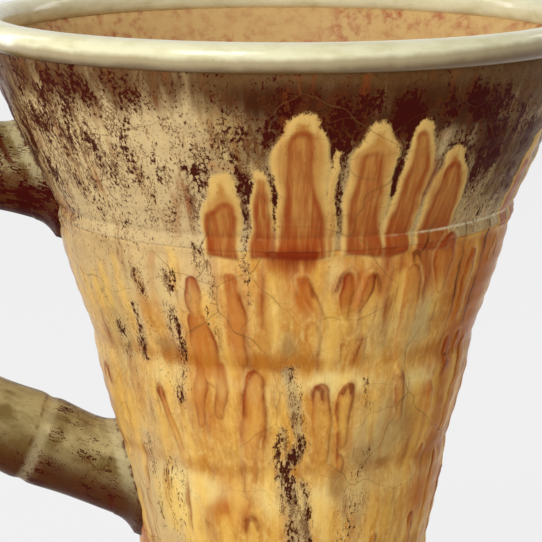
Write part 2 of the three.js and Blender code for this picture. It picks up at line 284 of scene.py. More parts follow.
foot_outside = (
    curve((FOOT_EDGE - EDGE_TUCK, FOOT_BOTTOM), (FOOT_EDGE, FOOT_BOTTOM), EDGE_MIDDLE, EDGE_STEP)
    + curve(EDGE_MIDDLE, EDGE_PULL, EDGE_BROW, EDGE_STEP)
    + curve(EDGE_BROW, FLARE_PULL, ANKLE, FLARE_STEP)
    + curve(ANKLE, NECK_PULL, WAIST, FLARE_STEP)
)
inner_waist = (WAIST[0] - WALL, WAIST[1])
inner_ankle = (ANKLE[0] - WALL, ANKLE[1])
foot_inside = (
    line(WAIST, inner_waist, COARSE)
    + curve(inner_waist, (NECK_PULL[0] - WALL, NECK_PULL[1]), inner_ankle, HOLLOW_STEP)
    + curve(inner_ankle, (FLARE_PULL[0] - WALL, FLARE_PULL[1] + WALL), SHOULDER, HOLLOW_STEP)
    + line(SHOULDER, (FLOOR_RADIUS, FLOOR_TOP), COARSE)
    + line((FLOOR_RADIUS, FLOOR_TOP), (FLOOR_RADIUS, FOOT_BOTTOM), COARSE)
    + line((FLOOR_RADIUS, FOOT_BOTTOM), (FOOT_EDGE - EDGE_TUCK, FOOT_BOTTOM), COARSE)
)
foot = throw("glazed_foot", foot_outside + foot_inside + foot_outside[:1], FOOT_STEPS)

# %% Base slab
BASE_RADIUS = 51.5
BASE_ROUND = 2.0
RIM_TOP = 4.0
ROUND_STEP = 0.5
SIDE_STEP = 0.8
BASE_STEPS = 240
SHARP_FROM = 40          # degrees: edges sharper than this stay sharp

base_outline = (
    line((0, 0), (BASE_RADIUS - BASE_ROUND, 0), COARSE)
    + curve((BASE_RADIUS - BASE_ROUND, 0), (BASE_RADIUS, 0), (BASE_RADIUS, BASE_ROUND), ROUND_STEP)
    + line((BASE_RADIUS, BASE_ROUND), (BASE_RADIUS, RIM_TOP), SIDE_STEP)
    + line((BASE_RADIUS, RIM_TOP), (FLOOR_RADIUS, RIM_TOP), COARSE)
    + line((FLOOR_RADIUS, RIM_TOP), (FLOOR_RADIUS, FLOOR_TOP), COARSE)
    + line((FLOOR_RADIUS, FLOOR_TOP), (0, FLOOR_TOP), COARSE)
    + [(0, FLOOR_TOP)]
)
base = throw("clay_base", base_outline, BASE_STEPS)
bpy.ops.object.shade_smooth_by_angle(angle=math.radians(SHARP_FROM))

# %% Rolled lip
LIP_OUTER = 82.2
LIP_INNER = 73.9
LIP_POINTS = 44
LIP_STEPS = 480
LIP_SINK = 0.6           # how deep the lip beds into the mouth
LIP_SQUARENESS = 0.8     # 1 is an ellipse, and less is fuller at the corners

lip_middle = ((LIP_OUTER + LIP_INNER) / 2, (LIP_SEAT - LIP_SINK + HEIGHT) / 2)
lip_half = ((LIP_OUTER - LIP_INNER) / 2, (HEIGHT - LIP_SEAT + LIP_SINK) / 2)


def fuller(value):
    return math.copysign(abs(value) ** LIP_SQUARENESS, value)


lip_turns = [2 * math.pi * number / LIP_POINTS for number in range(LIP_POINTS)]
lip_outline = [(lip_middle[0] + lip_half[0] * fuller(math.cos(turn)),
                lip_middle[1] + lip_half[1] * fuller(math.sin(turn))) for turn in lip_turns]
lip = throw("rolled_lip", lip_outline + lip_outline[:1], LIP_STEPS)

# %% [markdown]
# ## Handle
# The handle is a thick pulled bar. It leaves the body rising, turns at its widest point and comes back to
# the mouth section, and it has rings like the joints of a cane. Its middle line is two smooth curves.
# We start from a filled circle, and extrude, turn and resize it from station to station, as one would
# extrude a tube by hand. Both ends run into the wall, and a bisect cuts them there, parallel to the wall.

# %% Middle line of the handle
LOWER_ROOT = np.array((-43.2, 144.5))
UPPER_ROOT = np.array((-63.9, 228.0))
WIDEST = np.array((-126.0, 203.0))
LOWER_RISE = math.radians(23.6)
UPPER_RISE = math.radians(18.0)
LOWER_PULL = 52.0
UPPER_PULL = 40.0
BEND_DOWN = np.array((0.0, -24.0))
BEND_UP = np.array((0.0, 20.0))
BEND_POINTS = 400
ROOT_DEPTH = 16.0        # how far the bar first runs past the outside of the wall
HEADING_REACH = 0.5      # how far before and after a point its heading is read

lower_way = np.array((-math.cos(LOWER_RISE), math.sin(LOWER_RISE)))
upper_way = np.array((-math.cos(UPPER_RISE), math.sin(UPPER_RISE)))


def bend(a, b, c, d):
    """Points of a smooth curve from a to d that leaves towards b and arrives from c."""
    t = np.linspace(0, 1, BEND_POINTS)[:, None]
    return (1 - t) ** 3 * a + 3 * t * (1 - t) ** 2 * b + 3 * t ** 2 * (1 - t) * c + t ** 3 * d


rise = bend(LOWER_ROOT, LOWER_ROOT + LOWER_PULL * lower_way, WIDEST + BEND_DOWN, WIDEST)
fall = bend(WIDEST, WIDEST + BEND_UP, UPPER_ROOT + UPPER_PULL * upper_way, UPPER_ROOT)
way = np.vstack([LOWER_ROOT - ROOT_DEPTH * lower_way, rise, fall[1:], UPPER_ROOT - ROOT_DEPTH * upper_way])
travel = np.append(0, np.cumsum(np.linalg.norm(np.diff(way, axis=0), axis=1))) - ROOT_DEPTH
grip_length = float(travel[-1] - ROOT_DEPTH)


def on_handle(distance):
    """Point of the middle line at a distance along it from the lower root."""
    return np.array((np.interp(distance, travel, way[:, 0]), np.interp(distance, travel, way[:, 1])))


def heading(distance):
    """Direction of the middle line there, as an angle in the XZ plane."""
    ahead = on_handle(distance + HEADING_REACH) - on_handle(distance - HEADING_REACH)
    return math.atan2(ahead[1], ahead[0])


print("the handle runs", round(grip_length, 1), "mm from root to root")

# %% A tube along the middle line
HANDLE_THICKNESS = 23.0
HANDLE_WIDTH = 26.0


def pull_tube(name, first, last, step, sides, growth):
    """An oval tube on the middle line, growth(distance) millimetres thicker than the plain bar."""
    distances = np.linspace(first, last, round((last - first) / step) + 1)
    spot = on_handle(distances[0])
    angle = heading(distances[0])
    grown = growth(distances[0])
    deselect()
    bpy.ops.mesh.primitive_circle_add(vertices=sides, radius=1, fill_type="NGON")
    tube = bpy.context.object
    tube.name = name
    tube.data.name = name
    tube.scale = ((HANDLE_THICKNESS / 2 + grown) * MM, (HANDLE_WIDTH / 2 + grown) * MM, 1)
    tube.rotation_euler = (0, math.pi / 2 - angle, 0)
    tube.location = (spot[0] * MM, 0, spot[1] * MM)
    bpy.ops.object.transform_apply(location=True, rotation=True, scale=True)
    bpy.ops.object.mode_set(mode="EDIT")
    bpy.ops.mesh.select_all(action="SELECT")
    for distance in distances[1:]:
        ahead = on_handle(distance)
        shift = ((ahead[0] - spot[0]) * MM, 0, (ahead[1] - spot[1]) * MM)
        bpy.ops.mesh.extrude_region_move(TRANSFORM_OT_translate={"value": shift})
        middle = Vector((ahead[0] * MM, 0, ahead[1] * MM))
        turn = (heading(distance) - angle + math.pi) % (2 * math.pi) - math.pi
        bpy.ops.transform.rotate(value=turn, orient_axis="Y", orient_type="GLOBAL", center_override=middle)
        size = growth(distance)
        factor = (HANDLE_THICKNESS / 2 + size) / (HANDLE_THICKNESS / 2 + grown)
        bpy.ops.transform.resize(value=(factor, factor, factor), center_override=middle)
        spot, angle, grown = ahead, angle + turn, size
    bpy.ops.object.mode_set(mode="OBJECT")
    return tube


# %% Cane rings and the bar
RING_COUNT = 4
FIRST_RING = 27.0
RING_PITCH = 40.0
RING_SWELL = 0.9
RING_SWELL_LENGTH = 9.0
RING_NOTCH = 0.55
RING_NOTCH_LENGTH = 1.6
STATION_STEP = 0.9
HANDLE_SIDES = 80
rings = [FIRST_RING + RING_PITCH * number for number in range(RING_COUNT)]


def cane(distance):
    """Swelling of the bar at its rings, with a fine notch in the middle of each."""
    gaps = np.array([distance - ring for ring in rings])
    swell = RING_SWELL * np.exp(-(gaps / RING_SWELL_LENGTH) ** 2)
    notch = RING_NOTCH * np.exp(-(gaps / RING_NOTCH_LENGTH) ** 2)
    return float((swell - notch).sum())


handle = pull_tube("handle_bar_glazed", -ROOT_DEPTH, grip_length + ROOT_DEPTH,
                   STATION_STEP, HANDLE_SIDES, cane)
print("the bar has", len(handle.data.polygons), "faces")

# %% Cut the ends parallel to the wall
wall_points = np.array(sorted(foot_outside + body_outside + mouth_outside, key=lambda point: point[1]))
CUT_DEPTH = 4.2          # less than the wall, so nothing shows inside the vase
SLOPE_REACH = 6.0        # how far above and below a root the wall's slope is read


def wall_radius(height):
    """Outside radius of the wall at a height."""
    return np.interp(height, wall_points[:, 1], wall_points[:, 0])


def cut_in_wall(piece, root):
    """Cuts a piece parallel to the wall, just under its surface, and closes the cut."""
    gain = float(wall_radius(root[1] + SLOPE_REACH) - wall_radius(root[1] - SLOPE_REACH))
    outwards = Vector((-1, 0, -gain / (2 * SLOPE_REACH))).normalized()
    inside = Vector((-float(wall_radius(root[1])), 0, root[1])) * MM - outwards * CUT_DEPTH * MM
    bpy.context.view_layer.objects.active = piece
    bpy.ops.object.mode_set(mode="EDIT")
    bpy.ops.mesh.select_all(action="SELECT")
    bpy.ops.mesh.bisect(plane_co=inside, plane_no=outwards, use_fill=True, clear_inner=True)
    bpy.ops.object.mode_set(mode="OBJECT")


close_up(handle)
cut_in_wall(handle, LOWER_ROOT)
cut_in_wall(handle, UPPER_ROOT)
close_up(handle)
print("the cut bar has", len(handle.data.polygons), "faces")

# %% [markdown]
# ## Root coils
# Where the handle meets the wall, a coil of soft clay is pressed round it, spreading on the wall and
# thinning up the bar. Each coil starts as a tube the size of the bar. Every corner then gets a weight from
# its distance to the wall, and a Displace modifier pushes it out by that weight. Past the coil's edge the
# tube is wider than needed, so there a second Displace sinks it into the bar.

# %% Push a surface along its normals by a weight
def corners(piece):
    """x, y and z of a piece's corners, in millimetres."""
    flat = np.empty(len(piece.data.vertices) * 3)
    piece.data.vertices.foreach_get("co", flat)
    return flat.reshape(-1, 3).T / MM


def push(piece, millimetres, outwards=1):
    """Moves each corner along its normal by its own number of millimetres, none below zero."""
    most = float(np.max(millimetres))
    group = piece.vertex_groups.new(name="push")
    for corner, share in enumerate((np.asarray(millimetres) / most).tolist()):
        group.add([corner], share, "REPLACE")
    lift = piece.modifiers.new("push", "DISPLACE")
    lift.vertex_group = group.name
    lift.mid_level = 0
    lift.strength = outwards * most * MM
    apply(piece, lift)
    piece.vertex_groups.clear()


# %% Root coils
COIL_HEIGHT = 5.5
COIL_SPREAD = 2.7
COIL_EDGE = 0.2
COIL_EDGE_ROUND = 1.6
COIL_SINK = 0.8
COIL_REACH = 19.0        # how far the tube runs past the root, so that its slanted edge has room
COIL_STEP = 0.35
COIL_SIDES = 96
DENT_COUNT = 7           # dents that the fingertips leave round a coil
DENT_SHARE = 0.12


def off_wall(piece):
    """Each corner's distance outside the wall, in millimetres."""
    x, y, z = corners(piece)
    return np.hypot(x, y) - wall_radius(z)


def press_coil(name, root, first, last):
    """A coil round one root, from a tube between two distances along the handle."""
    coil = pull_tube(name, first, last, COIL_STEP, COIL_SIDES, lambda distance: 0.0)
    close_up(coil)
    x, y, z = corners(coil)
    out = off_wall(coil)
    dents = 1 - DENT_SHARE * np.sin(DENT_COUNT * np.arctan2(y, z - root[1]))
    spread = COIL_EDGE + (COIL_SPREAD - COIL_EDGE) * (1 - np.clip(out / COIL_HEIGHT, 0, 1)) ** 2 * dents
    past = np.clip((out - COIL_HEIGHT) / COIL_EDGE_ROUND, 0, 1)
    level = spread - (COIL_EDGE + COIL_SINK) * past ** 2
    push(coil, np.maximum(level, 0))
    push(coil, np.maximum(-level, 0), outwards=-1)
    cut_in_wall(coil, root)
    close_up(coil)
    print(name, "has", len(coil.data.polygons), "faces")
    return coil


lower_coil = press_coil("lower_coil_glazed", LOWER_ROOT, -ROOT_DEPTH, COIL_REACH)
upper_coil = press_coil("upper_coil_glazed", UPPER_ROOT, grip_length - COIL_REACH, grip_length + ROOT_DEPTH)

# %% [markdown]
# ## Where the glaze runs
# The honey glaze was poured over a stone-coloured one. Above the first ledge it stands in fingers, and
# from every ledge it runs down in tongues and threads. A run is a chain of strokes, each point with an
# angle in degrees from the front, a height and a half-width in millimetres. On the front each run is one
# row of round numbers that follows the photograph, and a function gives it its shape. Round the back the
# rows are drawn by chance from a fixed seed.

# %% Shapes of the runs
# At the head, middle and tail of a drip: share of its lean, of its fall and of its half-width.
DRIP_SHAPE = [(0, 0, 0.7), (0.4, 0.4, 1), (1, 1, 0.5)]
# From foot to foot of a hoop: half-widths aside and down, and the stroke's own half-width.
HOOP_SHAPE = [(-1, 2.4, 0.3), (-0.75, 0.5, 0.6), (0, 0, 0.7), (0.75, 0.5, 0.6), (1, 2.4, 0.3)]
DEGREE = 0.9             # about how many millimetres a degree is on the upper body
FINGER_FOOT = 218.0      # fingers end just under the first ledge
HEAD_SHARE = 0.6         # a finger's head is this much of its half-width
FINGER_SHOULDER = 9      # how far below its top a finger has its full width
SHOULDER_LEAN = 0.3
CORE_SHARES = (0.45, 0.7, 0.8)    # of a finger's half-width, at its core's head, knee and foot
CORE_KNEE = 10           # how far above the finger's foot its core bends
KNEE_LEAN = 0.6
THREAD_HALF = 0.25
SEAM_HALF = 0.35


def drip_run(angle, top, bottom, half, lean):
    """A run that is round at its head, fullest above its middle and slim at its tail."""
    return [(angle + lean * aside, top - (top - bottom) * down, half * wide)
            for aside, down, wide in DRIP_SHAPE]


def hoop_run(angle, top, half):
    """The thin arch over the head of a drip."""
    return [(angle + half / DEGREE * aside, top - half * down, stroke) for aside, down, stroke in HOOP_SHAPE]


def finger_run(angle, top, half, lean):
    return [(angle, top - half * HEAD_SHARE, half * HEAD_SHARE),
            (angle + lean * SHOULDER_LEAN, top - FINGER_SHOULDER, half), (angle + lean, FINGER_FOOT, half)]


def core_run(angle, top, half, lean, drop):
    """The red and golden core of a finger, which starts by drop below the finger's rounded head."""
    head, knee, foot = (half * share for share in CORE_SHARES)
    return [(angle, top - half - drop, head), (angle + lean * KNEE_LEAN, FINGER_FOOT + CORE_KNEE, knee),
            (angle + lean, FINGER_FOOT, foot)]


print("a drip has", len(drip_run(0, 10, 0, 1, 0)), "points")

# %% Runs on the front
# A finger: angle, top, half-width, lean, and how far its core lies below its head.
finger_rows = [
    (-13, 240, 4.5, -1, 5), (-5, 241, 2.5, 0, 1), (3, 255, 6.5, 1, 1), (10, 246, 1, 0, 1),
    (17, 253, 5.5, 1, 4), (27, 253, 4, 0, 1), (36, 245, 5.5, 1, 1),
]
CORED_FROM = 2           # fingers with a smaller half-width have no core
FINGERS = [finger_run(*row[:4]) for row in finger_rows]
CORES = [core_run(*row) for row in finger_rows if row[2] > CORED_FROM]

# A tongue: how red it is, from 0, golden, to 1, then angle, top, bottom, half-width and lean.
TONGUES = [(red, drip_run(*row)) for red, *row in (
    (0.8, -23, 211, 201, 1.7, 1), (0.7, -22, 200, 184, 3.5, 1), (0.8, -24, 188, 171, 1.6, -1),
    (0.8, -18, 188, 174, 1.6, -1), (0.9, -13, 212, 189, 2, 2), (0.9, 5, 212, 200, 1.6, 5),
    (0.2, 7, 199, 192, 2, 1), (1, 15, 212, 202, 1.3, 1), (1, 21, 212, 203, 1.2, -2),
    (0.3, 32, 212, 187, 2.5, 3), (1, 42, 219, 207, 3.2, 0), (0.9, 53, 214, 196, 1.7, 0),
    (1, 59, 190, 185, 1.2, 1), (1, 53, 190, 183, 1.2, 2), (0.8, -38, 179, 157, 1, 4),
    (0.5, -8, 184, 164, 3, -2), (0.7, -9, 162, 156, 0.6, 0), (0.3, 18, 182, 166, 2, 0),
    (0.3, 18, 162, 158, 1, 0), (0.4, 35, 184, 172, 1.3, 2), (0.3, 11, 181, 162, 2.6, 1),
    (0.5, 49, 179, 171, 1, 2), (0.9, 52, 160, 155, 0.8, -1), (0.6, 64, 155, 140, 1.5, -1),
)]

# A thread or a seam: angle, top, bottom and lean. Seams are the dark lines down the right side.
THREADS = [drip_run(angle, top, bottom, THREAD_HALF, lean) for angle, top, bottom, lean in (
    (-5, 214, 200, -1), (-8, 187, 178, -5), (36, 210, 191, 1), (18, 210, 205, 1), (15, 195, 188, 0),
    (21, 195, 189, -2), (31, 242, 224, -1), (-12, 181, 165, -1), (-6, 184, 161, 0), (16, 178, 162, 1),
)]
SEAMS = [drip_run(angle, top, bottom, SEAM_HALF, lean) for angle, top, bottom, lean in (
    (48, 222, 190, 2), (58, 222, 193, 1), (36, 226, 217, -1),
)]

# A hoop: angle, height of its top and half-width.
HOOPS = [
    (-20, 152, 2), (-28, 143, 1.5), (-11, 145, 2), (49, 184, 1), (56, 183, 1), (10, 182, 1.5), (15, 214, 2),
    (21, 213, 2), (5, 213, 2), (-13, 213, 2), (18, 183, 1), (34, 185, 1), (33, 217, 1), (-38, 180, 1),
]

# A gleam is a pale column where the glaze is thick: angle, top, bottom, half-width and lean.
GLEAMS = [drip_run(*row) for row in (
    (-3, 212, 197, 1.7, 0), (-20, 208, 186, 1.8, 6), (8, 215, 206, 1.6, 0), (-41, 151, 139, 4, -2),
    (-29, 154, 148, 2, 1), (-4, 158, 150, 1.8, 0), (12, 150, 144, 2, 2), (-21, 183, 175, 1, 0),
    (16, 203, 198, 1.2, 0), (12, 195, 188, 1.6, 0),
)]

# A trail of specks: how thick they lie, then angle, top, bottom, half-width and lean.
SPECK_TRAILS = [(thick, drip_run(*row)) for thick, *row in (
    (0.95, 2, 187, 166, 1.5, 3), (0.95, 5, 167, 156, 1.3, -6), (0.85, -1, 171, 156, 0.9, 0),
    (0.85, 2, 155, 126, 2.6, 4), (0.9, 7, 155, 104, 1.1, 4), (0.6, 24, 183, 173, 0.8, 1),
    (0.5, 26, 163, 156, 3, -2), (0.45, 24, 151, 132, 4.5, 1), (0.7, -20, 219, 205, 1.4, 2),
    (0.6, -18, 206, 193, 0.8, 1), (0.7, -29, 213, 208, 1.4, 1), (0.7, -30, 202, 190, 1.3, 1),
    (0.6, -29, 189, 178, 0.9, -2), (0.6, -38, 211, 207, 1, 1), (0.6, -42, 201, 187, 1, -1),
    (0.6, -50, 195, 187, 0.8, 0), (0.6, -50, 164, 138, 0.9, 1), (0.45, -39, 157, 137, 3.5, -2),
    (0.6, 56, 188, 184, 1.6, -2), (0.65, -8, 238, 206, 0.6, -1), (0.65, -2, 240, 225, 0.5, 0),
)]

# Zones are soft clouds of one colour: angle, height, half-width, half-height and strength.
STAINS = [
    (-34, 192, 4, 3, 0.9), (-17, 163, 3, 3, 0.6), (27, 192, 4, 4, 0.6), (26, 161, 5, 5, 0.8),
    (-47, 217, 6, 3, 0.5), (1, 194, 2, 5, 0.8), (18, 154, 2.5, 4, 1.2), (40, 169, 8, 10, 0.7),
]
# Near the right edge the warm zones also darken the glaze as painted shade.
WARM_ZONES = [
    (15, 211, 26, 8, 0.4), (-22, 194, 5, 11, 0.9), (-12, 199, 4, 15, 0.9), (-24, 177, 6, 11, 0.7),
    (-10, 171, 5, 11, 0.7), (5, 208, 3, 7, 0.9), (18, 209, 6, 6, 0.8), (30, 212, 6, 7, 0.5),
    (42, 214, 7, 10, 0.8), (53, 207, 7, 14, 1), (61, 202, 6, 14, 1.1), (56, 187, 4, 5, 1.2),
    (-5, 208, 2, 9, 0.5), (35, 178, 3, 8, 0.4), (-19, 149, 7, 7, 1.0), (-38, 170, 3, 10, 0.4),
    (61, 172, 9, 24, 0.6), (47, 174, 5, 12, 0.9), (55, 146, 6, 10, 0.8),
]
CREAM_ZONES = [
    (14, 183, 9, 3, 1.2), (42, 181, 5, 3, 0.9), (-3, 206, 2, 10, 0.7), (-38, 147, 7, 9, 1.2),
    (-4, 150, 3, 7, 1.1), (-28, 152, 6, 4, 0.8), (10, 148, 5, 6, 1.1), (-17, 197, 2, 8, 0.7),
    (12, 213, 3, 7, 0.9), (-30, 207, 5, 6, 0.4), (30, 200, 4, 6, 0.4), (-36, 184, 5, 5, 0.5),
]
GREY_ZONES = [
    (-40, 208, 9, 9, 0.5), (-52, 192, 7, 12, 0.8), (38, 197, 4, 9, 1.1), (30, 166, 8, 12, 1.1),
    (24, 150, 6, 9, 0.5), (-41, 170, 4, 8, 0.5), (1, 195, 3, 5, 0.5), (25, 196, 4, 5, 0.4),
    (-46, 146, 6, 12, 0.7),
]
print(len(FINGERS), "fingers,", len(TONGUES), "tongues and", len(THREADS), "threads on the front")

# %% Runs round the back and lower down
FRONT = 64.0             # degrees each way that the placed runs cover
SEEN_TO = 140.0          # height down to which they cover it
HANDLE_SIDE = 112.0      # degrees: from here on to the front's edge the handle's side has no fingers
FAINT = []               # runs so thin that only their edges tint the ground
SEED = 11
TONGUE_CHANCE = 0.82
GLEAM_CHANCE = 0.45
HOOP_CHANCE = 0.3
THREAD_SHARE = 0.6       # a thread's length, as a share of what a tongue would have
LEDGE_DROP = 2           # tongues start at least this far under their ledge
FINGER_ROOM = 1.9        # room for a finger in degrees, for each millimetre of its half-width
TRAIL_END = 90
chance = random.Random(SEED)


def vary(low, high):
    return chance.uniform(low, high)


def from_front(angle):
    return min(angle, 360 - angle)


angle = FRONT + 2
while angle < 360 - HANDLE_SIDE:
    half = vary(2.2, 5.6)
    top = vary(234, 253)
    lean = vary(-1.5, 1.5)
    FINGERS.append(finger_run(angle, top, half, lean))
    CORES.append(core_run(angle, top, half, lean, drop=vary(3, 9)))
    angle += half * FINGER_ROOM + vary(1, 6)

for (_, ledge), (_, next_ledge) in zip(ledges, ledges[1:] + [(FOOT_EDGE, 10.0)]):
    tall = ledge - next_ledge
    angle = 0.0
    while angle < 360:
        start = ledge - vary(0, 1) ** 2 * tall - LEDGE_DROP
        by_handle = FRONT <= 360 - angle < HANDLE_SIDE and start > SEEN_TO
        if not by_handle and (from_front(angle) >= FRONT or start < SEEN_TO):
            half = vary(1.0, 3.2)
            length = tall * vary(0.3, 1.1)
            drift = vary(-2.5, 2.5)
            if vary(0, 1) < TONGUE_CHANCE:
                TONGUES.append((vary(0.2, 1), drip_run(angle, start, start - length, half, drift)))
            else:
                THREADS.append(drip_run(angle, start, start - THREAD_SHARE * length, THREAD_HALF, drift))
        angle += vary(7, 17)

for _, ledge in ledges[:-1]:
    angle = 0.0
    while angle < 360:
        start = ledge - vary(1, 13)
        half = vary(0.7, 2.3)
        length = vary(7, 24)
        lean = vary(-1.5, 1.5)
        kind = GLEAMS if vary(0, 1) < GLEAM_CHANCE else FAINT
        kind.append(drip_run(angle, start, start - length, half, lean))
        if vary(0, 1) < HOOP_CHANCE and (from_front(angle) > FRONT or start < SEEN_TO):
            HOOPS.append((angle, start + half, half))
        angle += vary(4, 9)

for angle in (92, 151, 212, 268):
    z = vary(205, 228)
    while z > TRAIL_END:
        length = vary(10, 24)
        half = vary(0.6, 2.0)
        drift = vary(-3, 3)
        SPECK_TRAILS.append((vary(0.4, 0.8), drip_run(angle, z, z - length, half, drift)))
        angle += drift + vary(-1.5, 1.5)
        z -= length + vary(0, 14)

# Zones round the back: their list, the degrees from one to the next, and their greatest half-sizes.
for zones, steps, widest, tallest in ((WARM_ZONES, (14, 34), 7, 16), (CREAM_ZONES, (16, 40), 7, 8),
                                      (GREY_ZONES, (25, 60), 9, 14)):
    for level in [ledge for _, ledge in ledges[:-1]] + [60.0, 35.0]:
        angle = vary(0, 20)
        while angle < 360:
            if from_front(angle) > FRONT + 4 or level < SEEN_TO:
                height = level - vary(2, 24)
                half_width = vary(0.4, 1) * widest
                half_height = vary(0.4, 1) * tallest
                zones.append((angle, height, half_width, half_height, vary(0.4, 0.9)))
            angle += vary(*steps)
print(len(FINGERS), "fingers,", len(TONGUES), "tongues and", len(THREADS), "threads in all")

# %% [markdown]
# ## Painting the runs on
# For every corner of a wall we work out how deep it lies inside the nearest run, below zero where it is
# outside. The mesh keeps those depths as attributes. A material can then fray the edge of a run with
# noise, which a hard mask would not allow. The attribute called flow is each corner's place on a plain
# cylinder, so that a streak in it follows the wall down to the foot.

# %% Depth inside a run, and soft shapes
FAR = 8.0                # millimetres: nothing is painted further from a run than this
RIPPLE_WAVES = 5
RIPPLE_SWING = 0.8


def turn_gap(angle, other):
    """Angle from other to angle, between -180 and 180 degrees."""
    return (angle - other + 180) % 360 - 180


def depth_in(run, angle, height, radius):
    """Depth in millimetres inside one run, which is a chain of round-ended strokes."""
    depth = np.full(angle.shape, -FAR)
    scale = radius * math.pi / 180
    for (a0, z0, w0), (a1, z1, w1) in zip(run, run[1:]):
        across = turn_gap(angle, a0) * scale
        up = height - z0
        run_across = (a1 - a0) * scale
        run_up = z1 - z0
        share = np.clip((across * run_across + up * run_up) / (run_across ** 2 + run_up ** 2), 0, 1)
        gap = np.hypot(across - share * run_across, up - share * run_up)
        depth = np.maximum(depth, w0 + (w1 - w0) * share - gap)
    return depth


def deepest(runs, angle, height, radius):
    depth = np.full(angle.shape, -FAR)
    for run in runs:
        depth = np.maximum(depth, depth_in(run, angle, height, radius))
    return depth


def ease(values, start, end):
    """0 before start, 1 after end, and smooth between."""
    t = np.clip((values - start) / (end - start), 0, 1)
    return t * t * (3 - 2 * t)


def between(values, start, full, last, end):
    """0 before start, 1 from full to last, and 0 after end."""
    return ease(values, start, full) * (1 - ease(values, last, end))


def hill(values, middle, half):
    """1 at middle, and falling softly to both sides."""
    return np.exp(-((values - middle) / half) ** 2)


def up_from(least, value):
    """From least, where a value is 0, to 1, where it is 1."""
    return least + (1 - least) * value


def ripple(angle, first):
    """A slow change round the vase, about 0 to 1, the same for the same first phase."""
    turns = sum(np.sin(np.radians(angle) * (k + 1) + first * (k + 2)) for k in range(RIPPLE_WAVES))
    return 0.5 + RIPPLE_SWING * turns / RIPPLE_WAVES


def clouds_of(clouds, angle, z, radius):
    """How strong some soft clouds are together at each corner."""
    strong = np.zeros(angle.shape)
    for cloud_angle, cloud_height, half_width, half_height, strength in clouds:
        across = turn_gap(angle, cloud_angle) * radius * math.pi / 180 / half_width
        up = (z - cloud_height) / half_height
        strong += strength * np.exp(-(across ** 2 + up ** 2))
    return strong


print("half way up, a soft step is at", ease(np.array(0.5), 0, 1))

# %% Marks of the runs
# Slow waves that keep a run from being straight: size, then millimetres up and degrees round per turn.
AROUND_WAVES = ((0.45, 4.7, 7.0), (0.25, 2.1, 3.1))
UP_WAVE = (0.5, 9.0, 2.7)
FINGER_END = 1.8         # how far under the lap's foot a finger fades
FINGER_END_SLOPE = 1.2
CROWN = (1.5, 8)         # how far below its tip a finger's head starts to fade and is gone
TAIL_COOLING = 0.3       # how much of its redness a tongue loses down to its tail
TRAIL_EDGE = (-2.6, 0.6)
LILAC_FROM = (0.7, 0.9)  # trails that lie thicker than this have a pale ground
LILAC_EDGE = (-2.0, 1.0)


def run_marks(angle, z, radius):
    """How deep each corner lies in each kind of run, and how far along it."""
    shift = sum(size * np.sin(z / up + angle / turn) for size, up, turn in AROUND_WAVES)
    angle = angle + shift
    z = z + UP_WAVE[0] * np.sin(angle / UP_WAVE[2] + z / UP_WAVE[1])
    finger = np.full(angle.shape, -FAR)
    crown = np.zeros(angle.shape)
    for run in FINGERS:
        depth = depth_in(run, angle, z, radius)
        crown = np.where(depth > finger, 1 - ease(run[0][1] + run[0][2] - z, *CROWN), crown)
        finger = np.maximum(finger, depth)
    tongue = np.full(angle.shape, -FAR)
    ember = np.zeros(angle.shape)
    fresh = np.zeros(angle.shape)
    for red, run in TONGUES:
        depth = depth_in(run, angle, z, radius)
        down = np.clip((run[0][1] - z) / (run[0][1] - run[-1][1]), 0, 1)
        ember = np.where(depth > tongue, red * (1 - TAIL_COOLING * down), ember)
        fresh = np.where(depth > tongue, 1 - down, fresh)
        tongue = np.maximum(tongue, depth)
    trail = np.zeros(angle.shape)
    lilac = np.zeros(angle.shape)
    for thick, run in SPECK_TRAILS:
        depth = depth_in(run, angle, z, radius)
        trail = np.maximum(trail, thick * ease(depth, *TRAIL_EDGE))
        lilac = np.maximum(lilac, ease(thick, *LILAC_FROM) * ease(depth, *LILAC_EDGE))
    lap_end = (z - LAP_FOOT + FINGER_END) * FINGER_END_SLOPE
    marks = {"finger": np.minimum(finger, lap_end), "crown": crown, "tongue": tongue, "ember": ember,
             "fresh": fresh, "trail": trail, "lilac": lilac,
             "core": np.minimum(deepest(CORES, angle, z, radius), lap_end)}
    hoops = [hoop_run(*hoop) for hoop in HOOPS]
    for name, runs in (("thread", THREADS + hoops), ("gleam", GLEAMS), ("faint", FAINT), ("seam", SEAMS)):
        marks[name] = deepest(runs, angle, z, radius)
    return marks


print("runs to mark:", len(FINGERS) + len(TONGUES) + len(SPECK_TRAILS) + len(GLEAMS) + len(FAINT))

# %% Marks of the colours
# Clouds of oxide on the mouth: angle, height, half-width, half-height in millimetres, and strength.
OXIDE_CLOUDS = [
    (9, 251, 9, 5, 1.7), (22, 252, 4, 5, 1.4), (38, 256, 14, 4, 0.8), (44, 244, 14, 11, 0.6),
    (58, 238, 16, 18, 0.3), (-6, 248, 9, 7, 0.6), (-18, 240, 5, 8, 0.45), (-48, 248, 16, 12, 0.25),
    (10, 233, 2.0, 12, 1.0), (22.5, 237, 2.0, 9, 1.0), (-9, 232, 1.4, 9, 0.5), (-19, 228, 2.5, 8, 0.35),
    (-1.5, 233, 1.2, 8, 0.6), (-30, 258, 30, 4, 0.15), (10, 258, 20, 3, 0.4), (100, 250, 20, 9, 1.1),
    (140, 245, 22, 12, 0.8), (180, 252, 26, 8, 1.2), (225, 246, 22, 12, 0.8), (262, 250, 20, 10, 0.9),
    (285, 240, 20, 14, 0.6),
]
